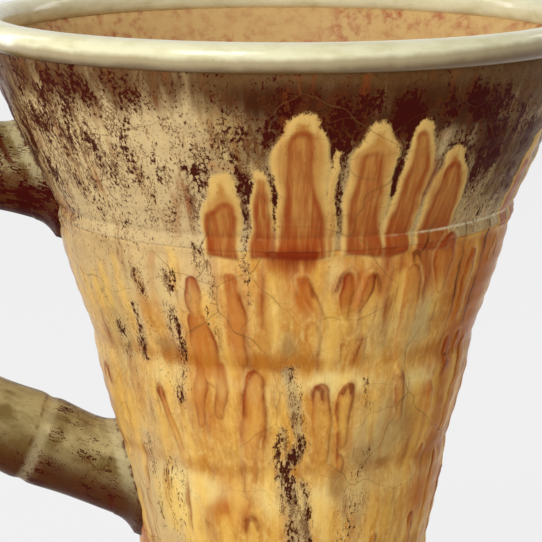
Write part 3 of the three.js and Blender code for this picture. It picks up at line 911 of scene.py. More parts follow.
# Soot, where the dark glaze lies thick under the lip.
SOOT_ZONES = [
    (-66, 254, 11, 9, 0.7), (8, 252, 16, 4.5, 1.0), (24, 252.5, 9, 5, 1.0), (36, 254, 11, 5, 0.9),
    (45, 245, 9, 7, 0.9), (60, 244, 9, 9, 0.6), (-2, 258, 18, 5, 0.7), (20, 260, 30, 4, 0.5),
    (100, 251, 20, 7, 0.9), (140, 247, 18, 9, 0.6), (180, 254, 24, 6, 0.9), (225, 249, 20, 9, 0.6),
    (262, 253, 18, 7, 0.8),
]
# Washes of red under the first ledge: from one angle to another, and strength.
RED_WASHES = [(-4, 8, 1.6), (16, 31, 0.5), (31, 52, 0.4), (92, 118, 0.8), (150, 171, 0.9), (205, 236, 0.8)]
# Sides of the vase: degrees at which each starts, is full, lasts to and ends. The left is read leftwards.
LEFT = (14, 40, 75, 95)
NEAR_LEFT = (6, 22, 75, 95)
MIDDLE = (-12, -4, 36, 50)
RIGHT = (36, 56, 85, 115)
FAR_RIGHT = (40, 58, 75, 100)
LAP_RIGHT = (20, 42, 64, 80)
BACK = (95, 120)
# Heights at which a colour starts and is full, and for some also lasts to and ends.
LOW_MOUTH = (219, 222, 226, 244)
MOUTH_OXIDE = (214, 226)
BODY_OXIDE = (130, 190)
BODY_RIGHT_SHADE = (120, 190, 217, 221)
MOUTH_PALE = (214, 222)
FIRST_BAND_PALE = (196, 218)
RIGHT_SHADE = (221, 232)
MIDDLE_DARK = (221, 228)
LIP_SHADOW = (251, 264)
SHADOW_DROP = 4           # how much lower the painted shadow under the lip starts on the left
# Soft spots: angle and half-width in degrees, height and half-height.
AMBER_SPOT = (-64, 7, 224, 5)
PALE_SPOT = (-52, 15, 145, 14)
# Bands of colour at each ledge: how far above it, half-height, and phase of their ripple. The pale band
# under a ledge is painted light, and the amber band above it is glaze pooled in its crease with painted
# shade.
LIT_BAND = (-4.5, 3.6, 1.7)
POOL_AND_SHADE_BAND = (2.2, 3.0, 0.6)
PALE_PHASE = 4.1
SHADOW_PHASE = 2.3
HIGHLIGHT_HALF = 0.5          # half-height of the painted highlight on the lap's upper edge, where the glaze also breaks thin
# The red wash: degrees at its ends, then shares with heights above the lap's foot where they change.
WASH_ENDS = (-1.5, 2)
WASH_UNDER_LAP = ((0.95, -10, -1), (0.65, -3, 0))
WASH_ON_LAP = ((0.5, 2.5, 11), (0.3, 0, 2.5))
LAP_TURN = 0.3           # height above the lap's foot where its underside ends


def red_wash(angle, z):
    """Red that gathers on the lap and runs out from under it."""
    wash = np.zeros(angle.shape)
    for first, last, strength in RED_WASHES:
        off = np.abs(turn_gap(angle, (first + last) / 2)) - (last - first) / 2
        wash = np.maximum(wash, strength * (1 - ease(off, *WASH_ENDS)))
    up = z - LAP_FOOT
    under_lap = sum(share * ease(up, start, full) for share, start, full in WASH_UNDER_LAP)
    on_lap = sum(share * (1 - ease(up, last, end)) for share, last, end in WASH_ON_LAP)
    return wash * np.where(up < LAP_TURN, under_lap, on_lap)


def spot(angle, z, middle, half_width, height, half_height):
    return hill(angle, middle, half_width) * hill(z, height, half_height)


def ledge_band(angle, z, least, above, half_height, phase):
    """A band of colour at every ledge but the first, between least and full strength round the vase."""
    return sum(hill(z, ledge + above, half_height) * up_from(least, ripple(angle, phase + number))
               for number, (_, ledge) in enumerate(ledges[1:]))


def colour_marks(angle, z, radius, trail):
    """How strong each colour of the ground is: places added up, each with its share in front."""
    left = between(-angle, *LEFT)
    low_left = left * between(z, *LOW_MOUTH)
    clouds = clouds_of(OXIDE_CLOUDS, angle, z, radius)
    marks = {name: clouds_of(zones, angle, z, radius) for name, zones in (
        ("stain", STAINS), ("warm", WARM_ZONES), ("grey", GREY_ZONES), ("cream_and_light", CREAM_ZONES),
        ("soot", SOOT_ZONES))}
    for name in ("warm", "grey", "cream_and_light"):
        marks[name] *= 1 - ease(z, LAP_FOOT - 2, LAP_FOOT)
    oxide = (0.44 - 0.22 * low_left) * ease(z, *MOUTH_OXIDE) + 0.3 * left * ease(z, *BODY_OXIDE)
    marks["oxide"] = oxide + clouds + trail
    # Painted light: a pale band just under each ledge but the first.
    marks["cream_and_light"] += 0.85 * ledge_band(angle, z, 0, *LIT_BAND)
    # Painted shade: the body's right edge is darkened towards amber, as if turned away from the light.
    amber_and_shade = 0.85 * between(angle, *FAR_RIGHT) * between(z, *BODY_RIGHT_SHADE)
    # Above each lower ledge, glaze pooled in the crease, deepened with painted shade.
    marks["amber_and_shade"] = amber_and_shade + spot(angle, z, *AMBER_SPOT) + ledge_band(angle, z, 0.4, *POOL_AND_SHADE_BAND)
    pale = left * up_from(0.55, ease(z, *MOUTH_PALE)) + 0.6 * low_left + 0.7 * trail
    pale += 0.9 * spot(angle, z, *PALE_SPOT)
    pale += between(-angle, *NEAR_LEFT) * ease(z, *FIRST_BAND_PALE)
    marks["pale"] = pale + 0.8 * ease(np.abs(angle), *BACK) * ripple(angle, PALE_PHASE)
    # Painted shade: the mouth's right side is darkened as if turned from the light, and the middle of the
    # front is darker between the fingers.
    dark_glaze_and_shade = 0.48 * between(angle, *RIGHT) * ease(z, *RIGHT_SHADE)
    dark_glaze_and_shade += 0.3 * between(angle, *MIDDLE) * ease(z, *MIDDLE_DARK)
    # A painted shadow under the lip; the oxide clouds add real dark glaze to it.
    shadow_under_lip = ease(z, LIP_SHADOW[0] - SHADOW_DROP * left, LIP_SHADOW[1])
    marks["dark_glaze_and_shade"] = dark_glaze_and_shade + shadow_under_lip * up_from(0.75, ripple(angle, SHADOW_PHASE)) + 0.45 * clouds
    marks["wash"] = red_wash(angle, z)
    # A painted highlight along the lap's upper edge, strongest on the right.
    highlight_strength = up_from(0.25, between(angle, *LAP_RIGHT))
    marks["break_and_highlight"] = highlight_strength * hill(z, LAP_FOOT + LAP_HEIGHT, HIGHLIGHT_HALF)
    return marks


print(len(OXIDE_CLOUDS), "clouds of oxide and", len(RED_WASHES), "red washes")

# %% Keep the marks on the walls
FRONT_TURN = -4.0        # degrees from the vase's own front to the side that the camera looks at
FLOW_RADIUS = 50.0
OUTSIDE_FROM = (-3.0, -1.5)    # depth in the wall at which the outside starts and is full
# How far thick glaze stands out: the run, the lift, and the depths at which it starts and is full.
LIFTS = (("finger", 0.3, -0.6, 1.0), ("tongue", 0.25, -0.9, 0.9), ("thread", 0.15, -0.6, 0.4))
# Rings that the potter's fingers leave: half their height, how dense they are and how that changes.
RING_LIFT = 0.1
RING_DENSITY = 1.15
RING_SWING = 1.4
RING_SWING_LENGTH = 17.0


def keep(piece, name, values):
    """Keeps one number for every corner, as an attribute that a material can read."""
    layer = piece.data.attributes.new(name, "FLOAT", "POINT")
    layer.data.foreach_set("value", np.asarray(values, dtype=np.float32))


def keep_flow(piece, x, y, z):
    layer = piece.data.attributes.new("flow", "FLOAT_VECTOR", "POINT")
    layer.data.foreach_set("vector", np.stack([x, y, z], axis=1).astype(np.float32).ravel())


def mark_wall(piece):
    """Works out the glaze marks of one wall, keeps them, and lifts the thick glaze."""
    x, y, z = corners(piece)
    angle = turn_gap(np.degrees(np.arctan2(x, -y)), FRONT_TURN)
    radius = np.hypot(x, y)
    outside = ease(radius - wall_radius(z), *OUTSIDE_FROM)
    marks = run_marks(angle, z, radius)
    marks.update(colour_marks(angle, z, radius, marks.pop("trail")))
    marks["oxide"] *= outside
    marks["inside"] = 1 - outside
    lift = RING_LIFT * (1 + np.sin(z * RING_DENSITY + RING_SWING * np.sin(z / RING_SWING_LENGTH)))
    for name, most, start, full in LIFTS:
        lift += most * ease(marks[name], start, full)
    push(piece, lift * outside)
    for name, values in marks.items():
        keep(piece, name, values)
    keep_flow(piece, FLOW_RADIUS * np.sin(np.radians(angle)), -FLOW_RADIUS * np.cos(np.radians(angle)), z)
    print(piece.name, "is marked, and lifted by up to", round(float(lift.max()), 2), "mm")


for wall in (mouth, body, foot):
    mark_wall(wall)

# %% Keep where the lip is painted in shade
LIP_SHADE_FROM = 269.2         # height on the outside of the lip below which it is painted in shade, tan and then brown
LIP_SHADE_RIGHT = (0, 50, 90, 120)
LIP_SHADE_BACK = (110, 140)
LIP_SHADE_MORE = 1.4           # how much further down the painted shade reaches on the right
x, y, z = corners(lip)
lip_angle = turn_gap(np.degrees(np.arctan2(x, -y)), FRONT_TURN)
# The painted shade reaches lower on the right, and in waves round the back.
deeper_lip_shade = between(lip_angle, *LIP_SHADE_RIGHT) + ease(np.abs(lip_angle), *LIP_SHADE_BACK) * ripple(lip_angle, 3.0)
outer_half = ease(np.hypot(x, y), lip_middle[0] - 1, lip_middle[0] + 1)
keep(lip, "painted_lip_shade", (LIP_SHADE_FROM - z + LIP_SHADE_MORE * deeper_lip_shade) * outer_half)
print("the lip is marked")

# %% Keep the marks on the handle and its coils
UNDERSIDE_SHADE = (-10, 6)         # how far below the middle line the painted shade of the bar's underside starts and is full
POOL = (34, 12)          # how far before the upper root the dark glaze starts and is full
POOL_SIDE = (-4, 5)      # how far towards the loop's inside it is thin and thick
POOL_LEAST = 0.3
CREASE_AT = 0.9          # radians from the loop's outer side to the open crease on each side
CREASE_HALF = 0.5


def mark_bar(piece):
    """Distance along the bar and angle round it, the painted shade of its underside, and the glaze that
    gathers at rings and creases.
    """
    x, y, z = corners(piece)
    steps = np.arange(-ROOT_DEPTH, grip_length + ROOT_DEPTH, 1.0)
    line_points = np.array([on_handle(step) for step in steps])
    gaps = (x[:, None] - line_points[:, 0]) ** 2 + (z[:, None] - line_points[:, 1]) ** 2
    nearest = np.argmin(gaps, axis=1)
    along = steps[nearest]
    side = np.array([heading(step) for step in steps])[nearest]
    above = (z - line_points[nearest, 1]) * np.cos(side) - (x - line_points[nearest, 0]) * np.sin(side)
    around = np.arctan2(y, above)
    ring_gaps = np.array([along - ring for ring in rings])
    ring_gap = ring_gaps[np.argmin(np.abs(ring_gaps), axis=0), np.arange(along.size)]
    pool = ease(along, grip_length - POOL[0], grip_length - POOL[1])
    keep_flow(piece, HANDLE_WIDTH / 2 * np.cos(around), HANDLE_WIDTH / 2 * np.sin(around), along)
    keep(piece, "ring", ring_gap)
    keep(piece, "off_wall", off_wall(piece))
    # How deep each corner lies in the painted shade of the bar's underside.
    keep(piece, "under", ease(line_points[nearest, 1] - z, *UNDERSIDE_SHADE))
    keep(piece, "crease", hill(np.abs(around), CREASE_AT, CREASE_HALF))
    keep(piece, "pool", pool * up_from(POOL_LEAST, ease(-above, *POOL_SIDE)))


for piece in (handle, lower_coil, upper_coil):
    mark_bar(piece)
print("the handle and its coils are marked")

# %% [markdown]
# ## Node helpers
# A glaze takes many small steps: stretch some noise, compare it with a depth, lay one colour over another.
# These helpers add one or a few nodes each and hand back an output, so that a material below reads like a
# recipe. They add to the tree that lies on the bench.

# %% Node helpers
class Bench:
    """Holds the node tree that the helpers add to."""
    tree = None


# The curve by which the numbers of a screen become light: straight in the dark, and a power above.
DARK_END = 0.04045
DARK_SLOPE = 12.92
CURVE_SHIFT = 0.055
CURVE_POWER = 2.4
MIX_UNDER = 6            # sockets of a Mix node that take its two colours
MIX_OVER = 7
MIX_RESULT = 2


def light(value):
    if value <= DARK_END:
        return value / DARK_SLOPE
    return ((value + CURVE_SHIFT) / (1 + CURVE_SHIFT)) ** CURVE_POWER


def colour(red, green, blue):
    """A colour as seen on a screen, 0 to 255, turned into the linear light that nodes work in."""
    return (light(red / 255), light(green / 255), light(blue / 255), 1.0)


def feed(socket, value):
    """Links a socket to another, or sets it to a plain value."""
    if isinstance(value, bpy.types.NodeSocket):
        Bench.tree.links.new(value, socket)
    else:
        socket.default_value = value


def new_node(kind, *values, **named):
    """A new node with its first inputs fed in order, and others by name."""
    node = Bench.tree.nodes.new("ShaderNode" + kind)
    for socket, value in zip(node.inputs, values):
        feed(socket, value)
    for name, value in named.items():
        feed(node.inputs[name.replace("_", " ")], value)
    return node


def calc(operation, first, second=0.0):
    node = new_node("Math", first, second)
    node.operation = operation
    return node.outputs[0]


def vector(operation, *values):
    node = new_node("VectorMath", *values)
    node.operation = operation
    return node.outputs[0]


def total(answer, *values):
    """All values added up."""
    for value in values:
        answer = calc("ADD", answer, value)
    return answer


def part(answer, *values):
    """All values multiplied: a share of a share of something."""
    for value in values:
        answer = calc("MULTIPLY", answer, value)
    return answer


def flip(value):
    """1 where a value is 0, and 0 where it is 1."""
    return calc("SUBTRACT", 1.0, value)


def at_least(least, more, value):
    """From least, where a value is 0, by more, where it is 1."""
    return total(least, part(more, value))


def fade(value, start, end):
    """0 before start, 1 after end, and smooth between."""
    node = new_node("MapRange", Value=value, From_Min=start, From_Max=end)
    node.interpolation_type = "SMOOTHSTEP"
    return node.outputs["Result"]


def near(value, middle, full, none):
    """1 where a value is within full of middle, and 0 past none."""
    return flip(fade(calc("ABSOLUTE", calc("SUBTRACT", value, middle)), full, none))


def coat(under, over, *shares):
    """One colour laid over another, by shares from 0 to 1 that are multiplied."""
    node = new_node("Mix")
    node.data_type = "RGBA"
    feed(node.inputs[0], part(*shares))
    feed(node.inputs[MIX_UNDER], under)
    feed(node.inputs[MIX_OVER], over)
    return node.outputs[MIX_RESULT]


def mark(name, output="Fac"):
    """What the mesh keeps for each corner under a name."""
    node = new_node("Attribute")
    node.attribute_name = name
    return node.outputs[output]


def place():
    """Each corner's place in the flow."""
    return mark("flow", "Vector")


def mottle(where, across, along, detail=3.0, roughness=0.55, twist=0.0):
    """Noise from 0 to 1 whose patches are about across wide and along high, in millimetres."""
    stretched = vector("MULTIPLY", where, (1 / across, 1 / across, 1 / along))
    node = new_node("TexNoise", Vector=stretched, Scale=1.0, Detail=detail, Roughness=roughness,
                    Distortion=twist)
    return node.outputs[0]


def off_middle(noise, size):
    """Noise turned into a shift to both sides, size at the most."""
    return part(calc("SUBTRACT", noise, 0.5), size * 2)


def spotted(name, noise, size, start=0.2, end=1.1):
    """A mark on the mesh whose edge is broken up by noise."""
    return fade(total(mark(name), off_middle(noise, size)), start, end)


def new_group(name, inputs, outputs):
    """A node group on the bench, with its sockets and the two nodes that hold them."""
    group = bpy.data.node_groups.new(name, "ShaderNodeTree")
    for socket, kind in inputs.items():
        group.interface.new_socket(socket, in_out="INPUT", socket_type="NodeSocket" + kind)
    for socket, kind in outputs.items():
        group.interface.new_socket(socket, in_out="OUTPUT", socket_type="NodeSocket" + kind)
    Bench.tree = group
    return group, group.nodes.new("NodeGroupInput").outputs, group.nodes.new("NodeGroupOutput").inputs


def use_group(group, **inputs):
    node = Bench.tree.nodes.new("ShaderNodeGroup")
    node.node_tree = group
    for name, value in inputs.items():
        feed(node.inputs[name], value)
    return node.outputs


print("helpers ready; mid grey is", round(colour(128, 128, 128)[0], 3), "in linear light")

# %% [markdown]
# ## Oxide specks
# Iron in the stone glaze melts out as maroon specks, drawn out along the wall and gathered in streaks.
# One noise makes the specks, a broader one gathers them, and a density lowers the level above which a
# speck shows. The handle and both walls use it, so it is a node group.

# %% Oxide specks group
SPECK_LEVEL = 0.76       # noise hardly ever reaches this, so no density gives no specks
SPECK_RANGE = 0.26
oxide_specks, given, gives = new_group(
    "oxide_specks", {"Density": "Float", "Width": "Float", "Length": "Float"},
    {"Stain": "Float", "Speck": "Float"})
size = new_node("CombineXYZ", given["Width"], given["Width"], given["Length"]).outputs[0]
shrunk = vector("DIVIDE", place(), size)
fine = mottle(shrunk, 1.0, 1.0, roughness=0.7)
gathered = mottle(shrunk, 6.0, 9.0, roughness=0.6)
share = part(given["Density"], total(0.45, fade(gathered, 0.35, 0.68)))
level = calc("SUBTRACT", SPECK_LEVEL, part(share, SPECK_RANGE))
over = calc("SUBTRACT", fine, level)
feed(gives["Stain"], fade(over, -0.10, 0.02))
feed(gives["Speck"], fade(over, -0.015, 0.025))
print("oxide_specks has", len(oxide_specks.nodes), "nodes")

# %% [markdown]
# ## Crackle
# As the pot cools, its glaze shrinks more than the clay and tears into a net of hair-fine lines. The edges
# of Voronoi cells, warped a little, make such a net. It only shows where a slow noise lets it.

# %% Crackle group
CRACK_WIDTH = 0.009      # of a cell
WARP = (14.0, 14.0, 14.0)
WARP_SCALE = 0.06
crackle_lines, given, gives = new_group("crackle_lines", {"Size": "Float"}, {"Line": "Float"})
warp = new_node("TexNoise", Vector=place(), Scale=WARP_SCALE, Detail=2.0)
bent = vector("MULTIPLY_ADD", warp.outputs[1], WARP, place())
cells = new_node("TexVoronoi", Vector=bent, Scale=calc("DIVIDE", 1.0, given["Size"]))
cells.feature = "DISTANCE_TO_EDGE"
hair = flip(fade(cells.outputs["Distance"], 0.0, CRACK_WIDTH))
shown = fade(mottle(place(), 25.0, 35.0), 0.42, 0.56)
feed(gives["Line"], part(hair, shown))
print("crackle_lines has", len(crackle_lines.nodes), "nodes")

# %% [markdown]
# ## Drip glaze
# Both walls carry the same drips on different grounds, so the drips are one group and the ground's two
# colours are its inputs. The layers go on from the clay outwards: the ground with its zones of colour, some
# with painted light and shade, dark glaze with painted shade and a painted shadow under the lip, and soot,
# then pale fingers with red and golden cores, the red wash, a painted highlight on the lap, tongues, threads
# and seams, and last the specks and the crackle. The lining of the vase has its own mottled tan and rose.

# %% Glaze colours
HALO_PALE = colour(222, 180, 104)
HALO_DEEP = colour(198, 144, 74)
CORE_RED = colour(152, 64, 24)
CORE_ORANGE = colour(180, 110, 52)
CORE_GOLD = colour(196, 142, 72)
LEDGE_RED = colour(126, 36, 12)
TONGUE_GOLD = colour(228, 164, 74)
TONGUE_RED = colour(164, 70, 24)
TONGUE_EDGE = colour(160, 82, 24)
THREAD_RED = colour(124, 48, 16)
CREAM = colour(248, 218, 140)
YELLOW = colour(246, 196, 94)
HONEY = colour(188, 112, 34)
AMBER = colour(172, 96, 18)
GREY_CREAM = colour(218, 190, 138)
# A dark brown for painted shade, and for stains on the lip.
SHADE_AND_STAIN_BROWN = colour(84, 48, 15)
STAIN = colour(150, 108, 58)
WARM = colour(184, 82, 14)
GREY = colour(194, 172, 118)
RUST = colour(96, 48, 22)
OXIDE = colour(66, 14, 10)
SOOT = colour(62, 24, 9)
CRACK = colour(112, 80, 42)
LILAC = colour(182, 158, 112)
GLINT = colour(252, 236, 190)
INSIDE_TAN = colour(214, 178, 118)
INSIDE_ROSE = colour(180, 104, 72)
print("glaze colours, from", CREAM[:3], "to", OXIDE[:3])

# %% Ground of the drip glaze
drip_glaze, given, gives = new_group(
    "drip_glaze", {"Ground": "Color", "Streak": "Color", "Marble": "Float", "Speck": "Float"},
    {"Color": "Color", "Roughness": "Float", "Height": "Float"})
flow = place()
height = new_node("SeparateXYZ", flow).outputs[2]
streaks = mottle(flow, 2.2, 22.0)
broad = mottle(flow, 11.0, 24.0, detail=2.0, twist=0.4)
clouds = mottle(flow, 7.0, 13.0, detail=4.0)
marbled = mottle(flow, 5.0, 16.0, twist=0.8)
veins = mottle(flow, 2.6, 10.0, twist=0.8)
hairs = mottle(flow, 0.8, 11.0, roughness=0.6)
grain = mottle(flow, 1.3, 2.4, detail=4.0, roughness=0.65)
ragged = off_middle(mottle(flow, 2.8, 8.0), 1.0)
fray = off_middle(mottle(flow, 0.5, 0.9), 0.6)

ground = coat(given["Ground"], given["Streak"], fade(broad, 0.40, 0.66))
ground = coat(ground, HONEY, 0.42, given["Marble"], fade(marbled, 0.42, 0.74))
# A layer of noise: the noise, where it starts and is full, its share at the most, and its colour.
for noise, start, full, most, over in (
        (streaks, 0.45, 0.72, 0.45, CREAM), (hairs, 0.50, 0.70, 0.12, CREAM),
        (hairs, 0.50, 0.32, 0.12, HONEY), (grain, 0.50, 0.70, 0.4, CREAM), (grain, 0.50, 0.32, 0.4, HONEY)):
    ground = coat(ground, over, most, fade(noise, start, full))
# A zone: its mark, the noise that breaks it and by how much, start, full, share and colour as above.
# The cream and amber zones also carry painted light under the lower ledges, and painted shade above them and
# on the right.
for name, noise, size, start, full, most, over in (
        ("pale", clouds, 0.7, 0.2, 1.1, 0.75, GREY_CREAM), ("grey", clouds, 0.4, 0.0, 1.0, 0.6, GREY),
        ("warm", streaks, 0.5, 0.0, 1.1, 0.75, WARM), ("cream_and_light", streaks, 0.5, 0.0, 1.2, 0.8, CREAM),
        ("amber_and_shade", clouds, 0.9, 0.2, 1.1, 0.75, AMBER)):
    ground = coat(ground, over, most, spotted(name, noise, size, start, full))
gleam = total(mark("gleam"), ragged, fray, off_middle(streaks, 1.8))
ground = coat(ground, YELLOW, 0.55, fade(gleam, -1.6, 1.6))
faint = total(mark("faint"), part(0.6, ragged), part(0.4, fray))
ground = coat(ground, HONEY, 0.35, fade(faint, -0.8, 1.4))
rims = calc("MAXIMUM", near(marbled, 0.53, 0.0, 0.03), near(veins, 0.5, 0.0, 0.025))
rims = calc("MAXIMUM", near(faint, 0.0, 0.1, 0.9), part(given["Marble"], rims))
ground = coat(ground, TONGUE_EDGE, 0.25, fade(clouds, 0.42, 0.60), rims)
ground = coat(ground, STAIN, 0.6, spotted("stain", clouds, 0.4, 0.1, 1.0))
# Dark glaze of the oxide clouds, with painted shade on the mouth's right side and a painted shadow under the
# lip.
dark_and_shaded = total(mark("dark_glaze_and_shade"), off_middle(streaks, 0.7), off_middle(clouds, 0.4))
ground = coat(ground, SHADE_AND_STAIN_BROWN, 0.9, fade(dark_and_shaded, 0.0, 0.9))
ground = coat(ground, SOOT, 0.9, spotted("soot", streaks, 0.45, 0.15, 0.9))
print("the ground has", len(drip_glaze.nodes), "nodes")

# %% Fingers over the ground
crown = mark("crown")
finger = total(mark("finger"), part(0.8, ragged), part(at_least(0.6, 1.4, crown), fray))
halo_share = fade(finger, -0.8, 0.5)
low = flip(fade(height, LAP_FOOT + 1, LAP_FOOT + 15))
high = fade(height, LAP_FOOT + 12, LAP_FOOT + 34)
inner = calc("SUBTRACT", total(finger, off_middle(clouds, 1.2)), part(2.4, crown))
halo = coat(HALO_PALE, HALO_DEEP, fade(inner, -0.3, 2.4))
halo = coat(halo, CORE_RED, 0.55, low, fade(finger, 0.0, 1.6))
halo = coat(halo, AMBER, 0.65, crown, fade(finger, 1.4, 3.2))
glaze = coat(ground, halo, halo_share)
core = total(mark("core"), part(0.25, ragged), off_middle(broad, 0.6))
core_colour = coat(CORE_RED, CORE_ORANGE, fade(core, 0.0, 2.2))
for over, most, share in ((CORE_GOLD, 0.5, high), (CORE_RED, 0.5, low), (AMBER, 0.6, crown),
                          (CORE_GOLD, 0.6, fade(hairs, 0.48, 0.66)),
                          (CORE_RED, 0.55, fade(hairs, 0.50, 0.36))):
    core_colour = coat(core_colour, over, most, share)
glaze = coat(glaze, core_colour, 0.85, fade(core, -0.9, 0.7))
glaze = coat(glaze, CORE_RED, 0.65, fade(clouds, 0.40, 0.62), near(core, 0.3, 0.1, 1.3))
wash = total(mark("wash"), off_middle(streaks, 1.3), off_middle(clouds, 0.8))
glaze = coat(glaze, TONGUE_RED, 0.65, fade(wash, 0.1, 1.1))
glaze = coat(glaze, LEDGE_RED, 0.8, fade(wash, 0.7, 1.8))
# A painted highlight along the lap's upper edge.
glaze = coat(glaze, GLINT, 0.7, spotted("break_and_highlight", streaks, 0.5))
print("with its fingers the glaze has", len(drip_glaze.nodes), "nodes")

# %% Tongues and threads
tongue = total(mark("tongue"), part(0.5, ragged), part(0.3, fray))
broken = fade(clouds, 0.40, 0.60)
fresh = mark("fresh")
ember = mark("ember")
lively = at_least(0.25, 0.75, fresh)
streaky = at_least(0.5, 0.6, fade(hairs, 0.36, 0.62))
redness = part(ember, at_least(0.4, 0.6, fade(fresh, 0.45, 1.0)))
fill = part(at_least(0.25, 0.5, redness), fade(tongue, -0.9, 1.0), streaky, at_least(0.5, 0.6, fresh))
outer = part(fade(streaks, 0.38, 0.56), near(tongue, -1.0, 0.1, 0.7))
glaze = coat(glaze, CREAM, 0.18, lively, outer)
glaze = coat(glaze, coat(TONGUE_GOLD, TONGUE_RED, redness), fill)
shade = part(fade(tongue, -0.6, 0.2), flip(fade(tongue, 0.2, 1.3)), at_least(0.4, 0.6, broken))
glaze = coat(glaze, TONGUE_RED, at_least(0.25, 0.7, ember), lively, shade)
edge = part(lively, near(tongue, -0.05, 0.05, 0.45), at_least(0.3, 0.7, ember))
glaze = coat(glaze, LEDGE_RED, broken, edge)
thread = total(mark("thread"), part(0.3, fray))
glaze = coat(glaze, TONGUE_RED, 0.4, broken, fade(thread, -1.6, 0.0))
glaze = coat(glaze, THREAD_RED, 0.75, broken, fade(thread, -0.35, 0.25))
seam = total(mark("seam"), part(0.8, fray))
glaze = coat(glaze, SOOT, 0.85, at_least(0.4, 0.6, broken), fade(seam, -0.5, 0.2))
print("with its tongues the glaze has", len(drip_glaze.nodes), "nodes")

# %% Specks, crackle and the lining
CRACKLES = ((13.0, 0.3), (30.0, 0.5))    # size of a net's cells in millimetres, and its share
glaze = coat(glaze, LILAC, 0.7, spotted("lilac", clouds, 0.8))
oxide = part(flip(part(0.85, halo_share)), mark("oxide"))
dust = use_group(oxide_specks, Density=at_least(0.22, 0.85, oxide), Width=0.32, Length=0.65)
glaze = coat(glaze, RUST, 0.7, dust["Speck"])
specks = use_group(oxide_specks, Density=oxide, Width=given["Speck"], Length=part(1.9, given["Speck"]))
glaze = coat(glaze, RUST, 0.5, specks["Stain"])
glaze = coat(glaze, OXIDE, 0.95, specks["Speck"])
for size, most in CRACKLES:
    glaze = coat(glaze, CRACK, most, use_group(crackle_lines, Size=size)["Line"])
rosy = fade(mottle(flow, 2.4, 3.2, detail=5.0, roughness=0.65), 0.40, 0.70)
patches = at_least(0.35, 0.65, fade(mottle(flow, 14.0, 9.0), 0.40, 0.62))
lining = coat(INSIDE_TAN, INSIDE_ROSE, patches, rosy)
glaze = coat(glaze, lining, fade(mark("inside"), 0.4, 0.6))
feed(gives["Color"], glaze)
feed(gives["Roughness"], total(0.16, part(0.18, specks["Speck"]), part(0.12, broad)))
relief = total(part(0.7, fade(tongue, -0.7, 0.3)), part(0.5, fade(thread, -0.6, 0.2)), part(0.3, hairs))
feed(gives["Height"], total(clouds, relief, part(0.15, specks["Speck"])))
print("drip_glaze has", len(drip_glaze.nodes), "nodes")

# %% [markdown]
# ## Materials
# Each finish is a Principled shader. What is the same all over, such as the specular level, is set on the
# shader itself, and what changes over the surface comes from the groups. A bump node turns the glaze's
# small ripples into normals, and the runs' own thickness is real geometry already.

# %% A material with a shader and a bump
GLOSS = 0.3              # kept low, so that the pale floor does not veil the dark glaze
GLAZE_IOR = 1.1


def new_finish(name, bump_depth, bump_strength=0.5):
    """A material whose tree lies on the bench, with its Principled shader and its bump."""
    finish = bpy.data.materials.new(name)
    finish.use_nodes = True
    Bench.tree = finish.node_tree
    shader = Bench.tree.nodes["Principled BSDF"]
    shader.inputs["Specular IOR Level"].default_value = GLOSS
    shader.inputs["IOR"].default_value = GLAZE_IOR
    bump = new_node("Bump", Distance=bump_depth * MM, Strength=bump_strength)
    feed(shader.inputs["Normal"], bump.outputs["Normal"])
    return finish, shader, bump


def dress(shader, bump, look, roughness, height):
    feed(shader.inputs["Base Color"], look)
    feed(shader.inputs["Roughness"], roughness)
    feed(bump.inputs["Height"], height)


# %% Wall glazes
def wall_glaze(name, ground, streak, marble, speck):
    finish, shader, bump = new_finish(name, 0.4)
    drips = use_group(drip_glaze, Ground=ground, Streak=streak, Marble=marble, Speck=speck)
    dress(shader, bump, drips["Color"], drips["Roughness"], drips["Height"])
    return finish


stone_glaze = wall_glaze("stone_glaze", colour(172, 144, 100), colour(206, 182, 136), marble=0.1, speck=0.62)
honey_glaze = wall_glaze("honey_glaze", colour(216, 158, 72), colour(230, 182, 98), marble=0.85, speck=0.68)
print("two wall glazes")

# %% Handle glaze
OLIVE = colour(122, 102, 58)
OLIVE_PALE = colour(188, 172, 122)
RIDGE = colour(220, 206, 160)
CREASE = colour(84, 30, 14)


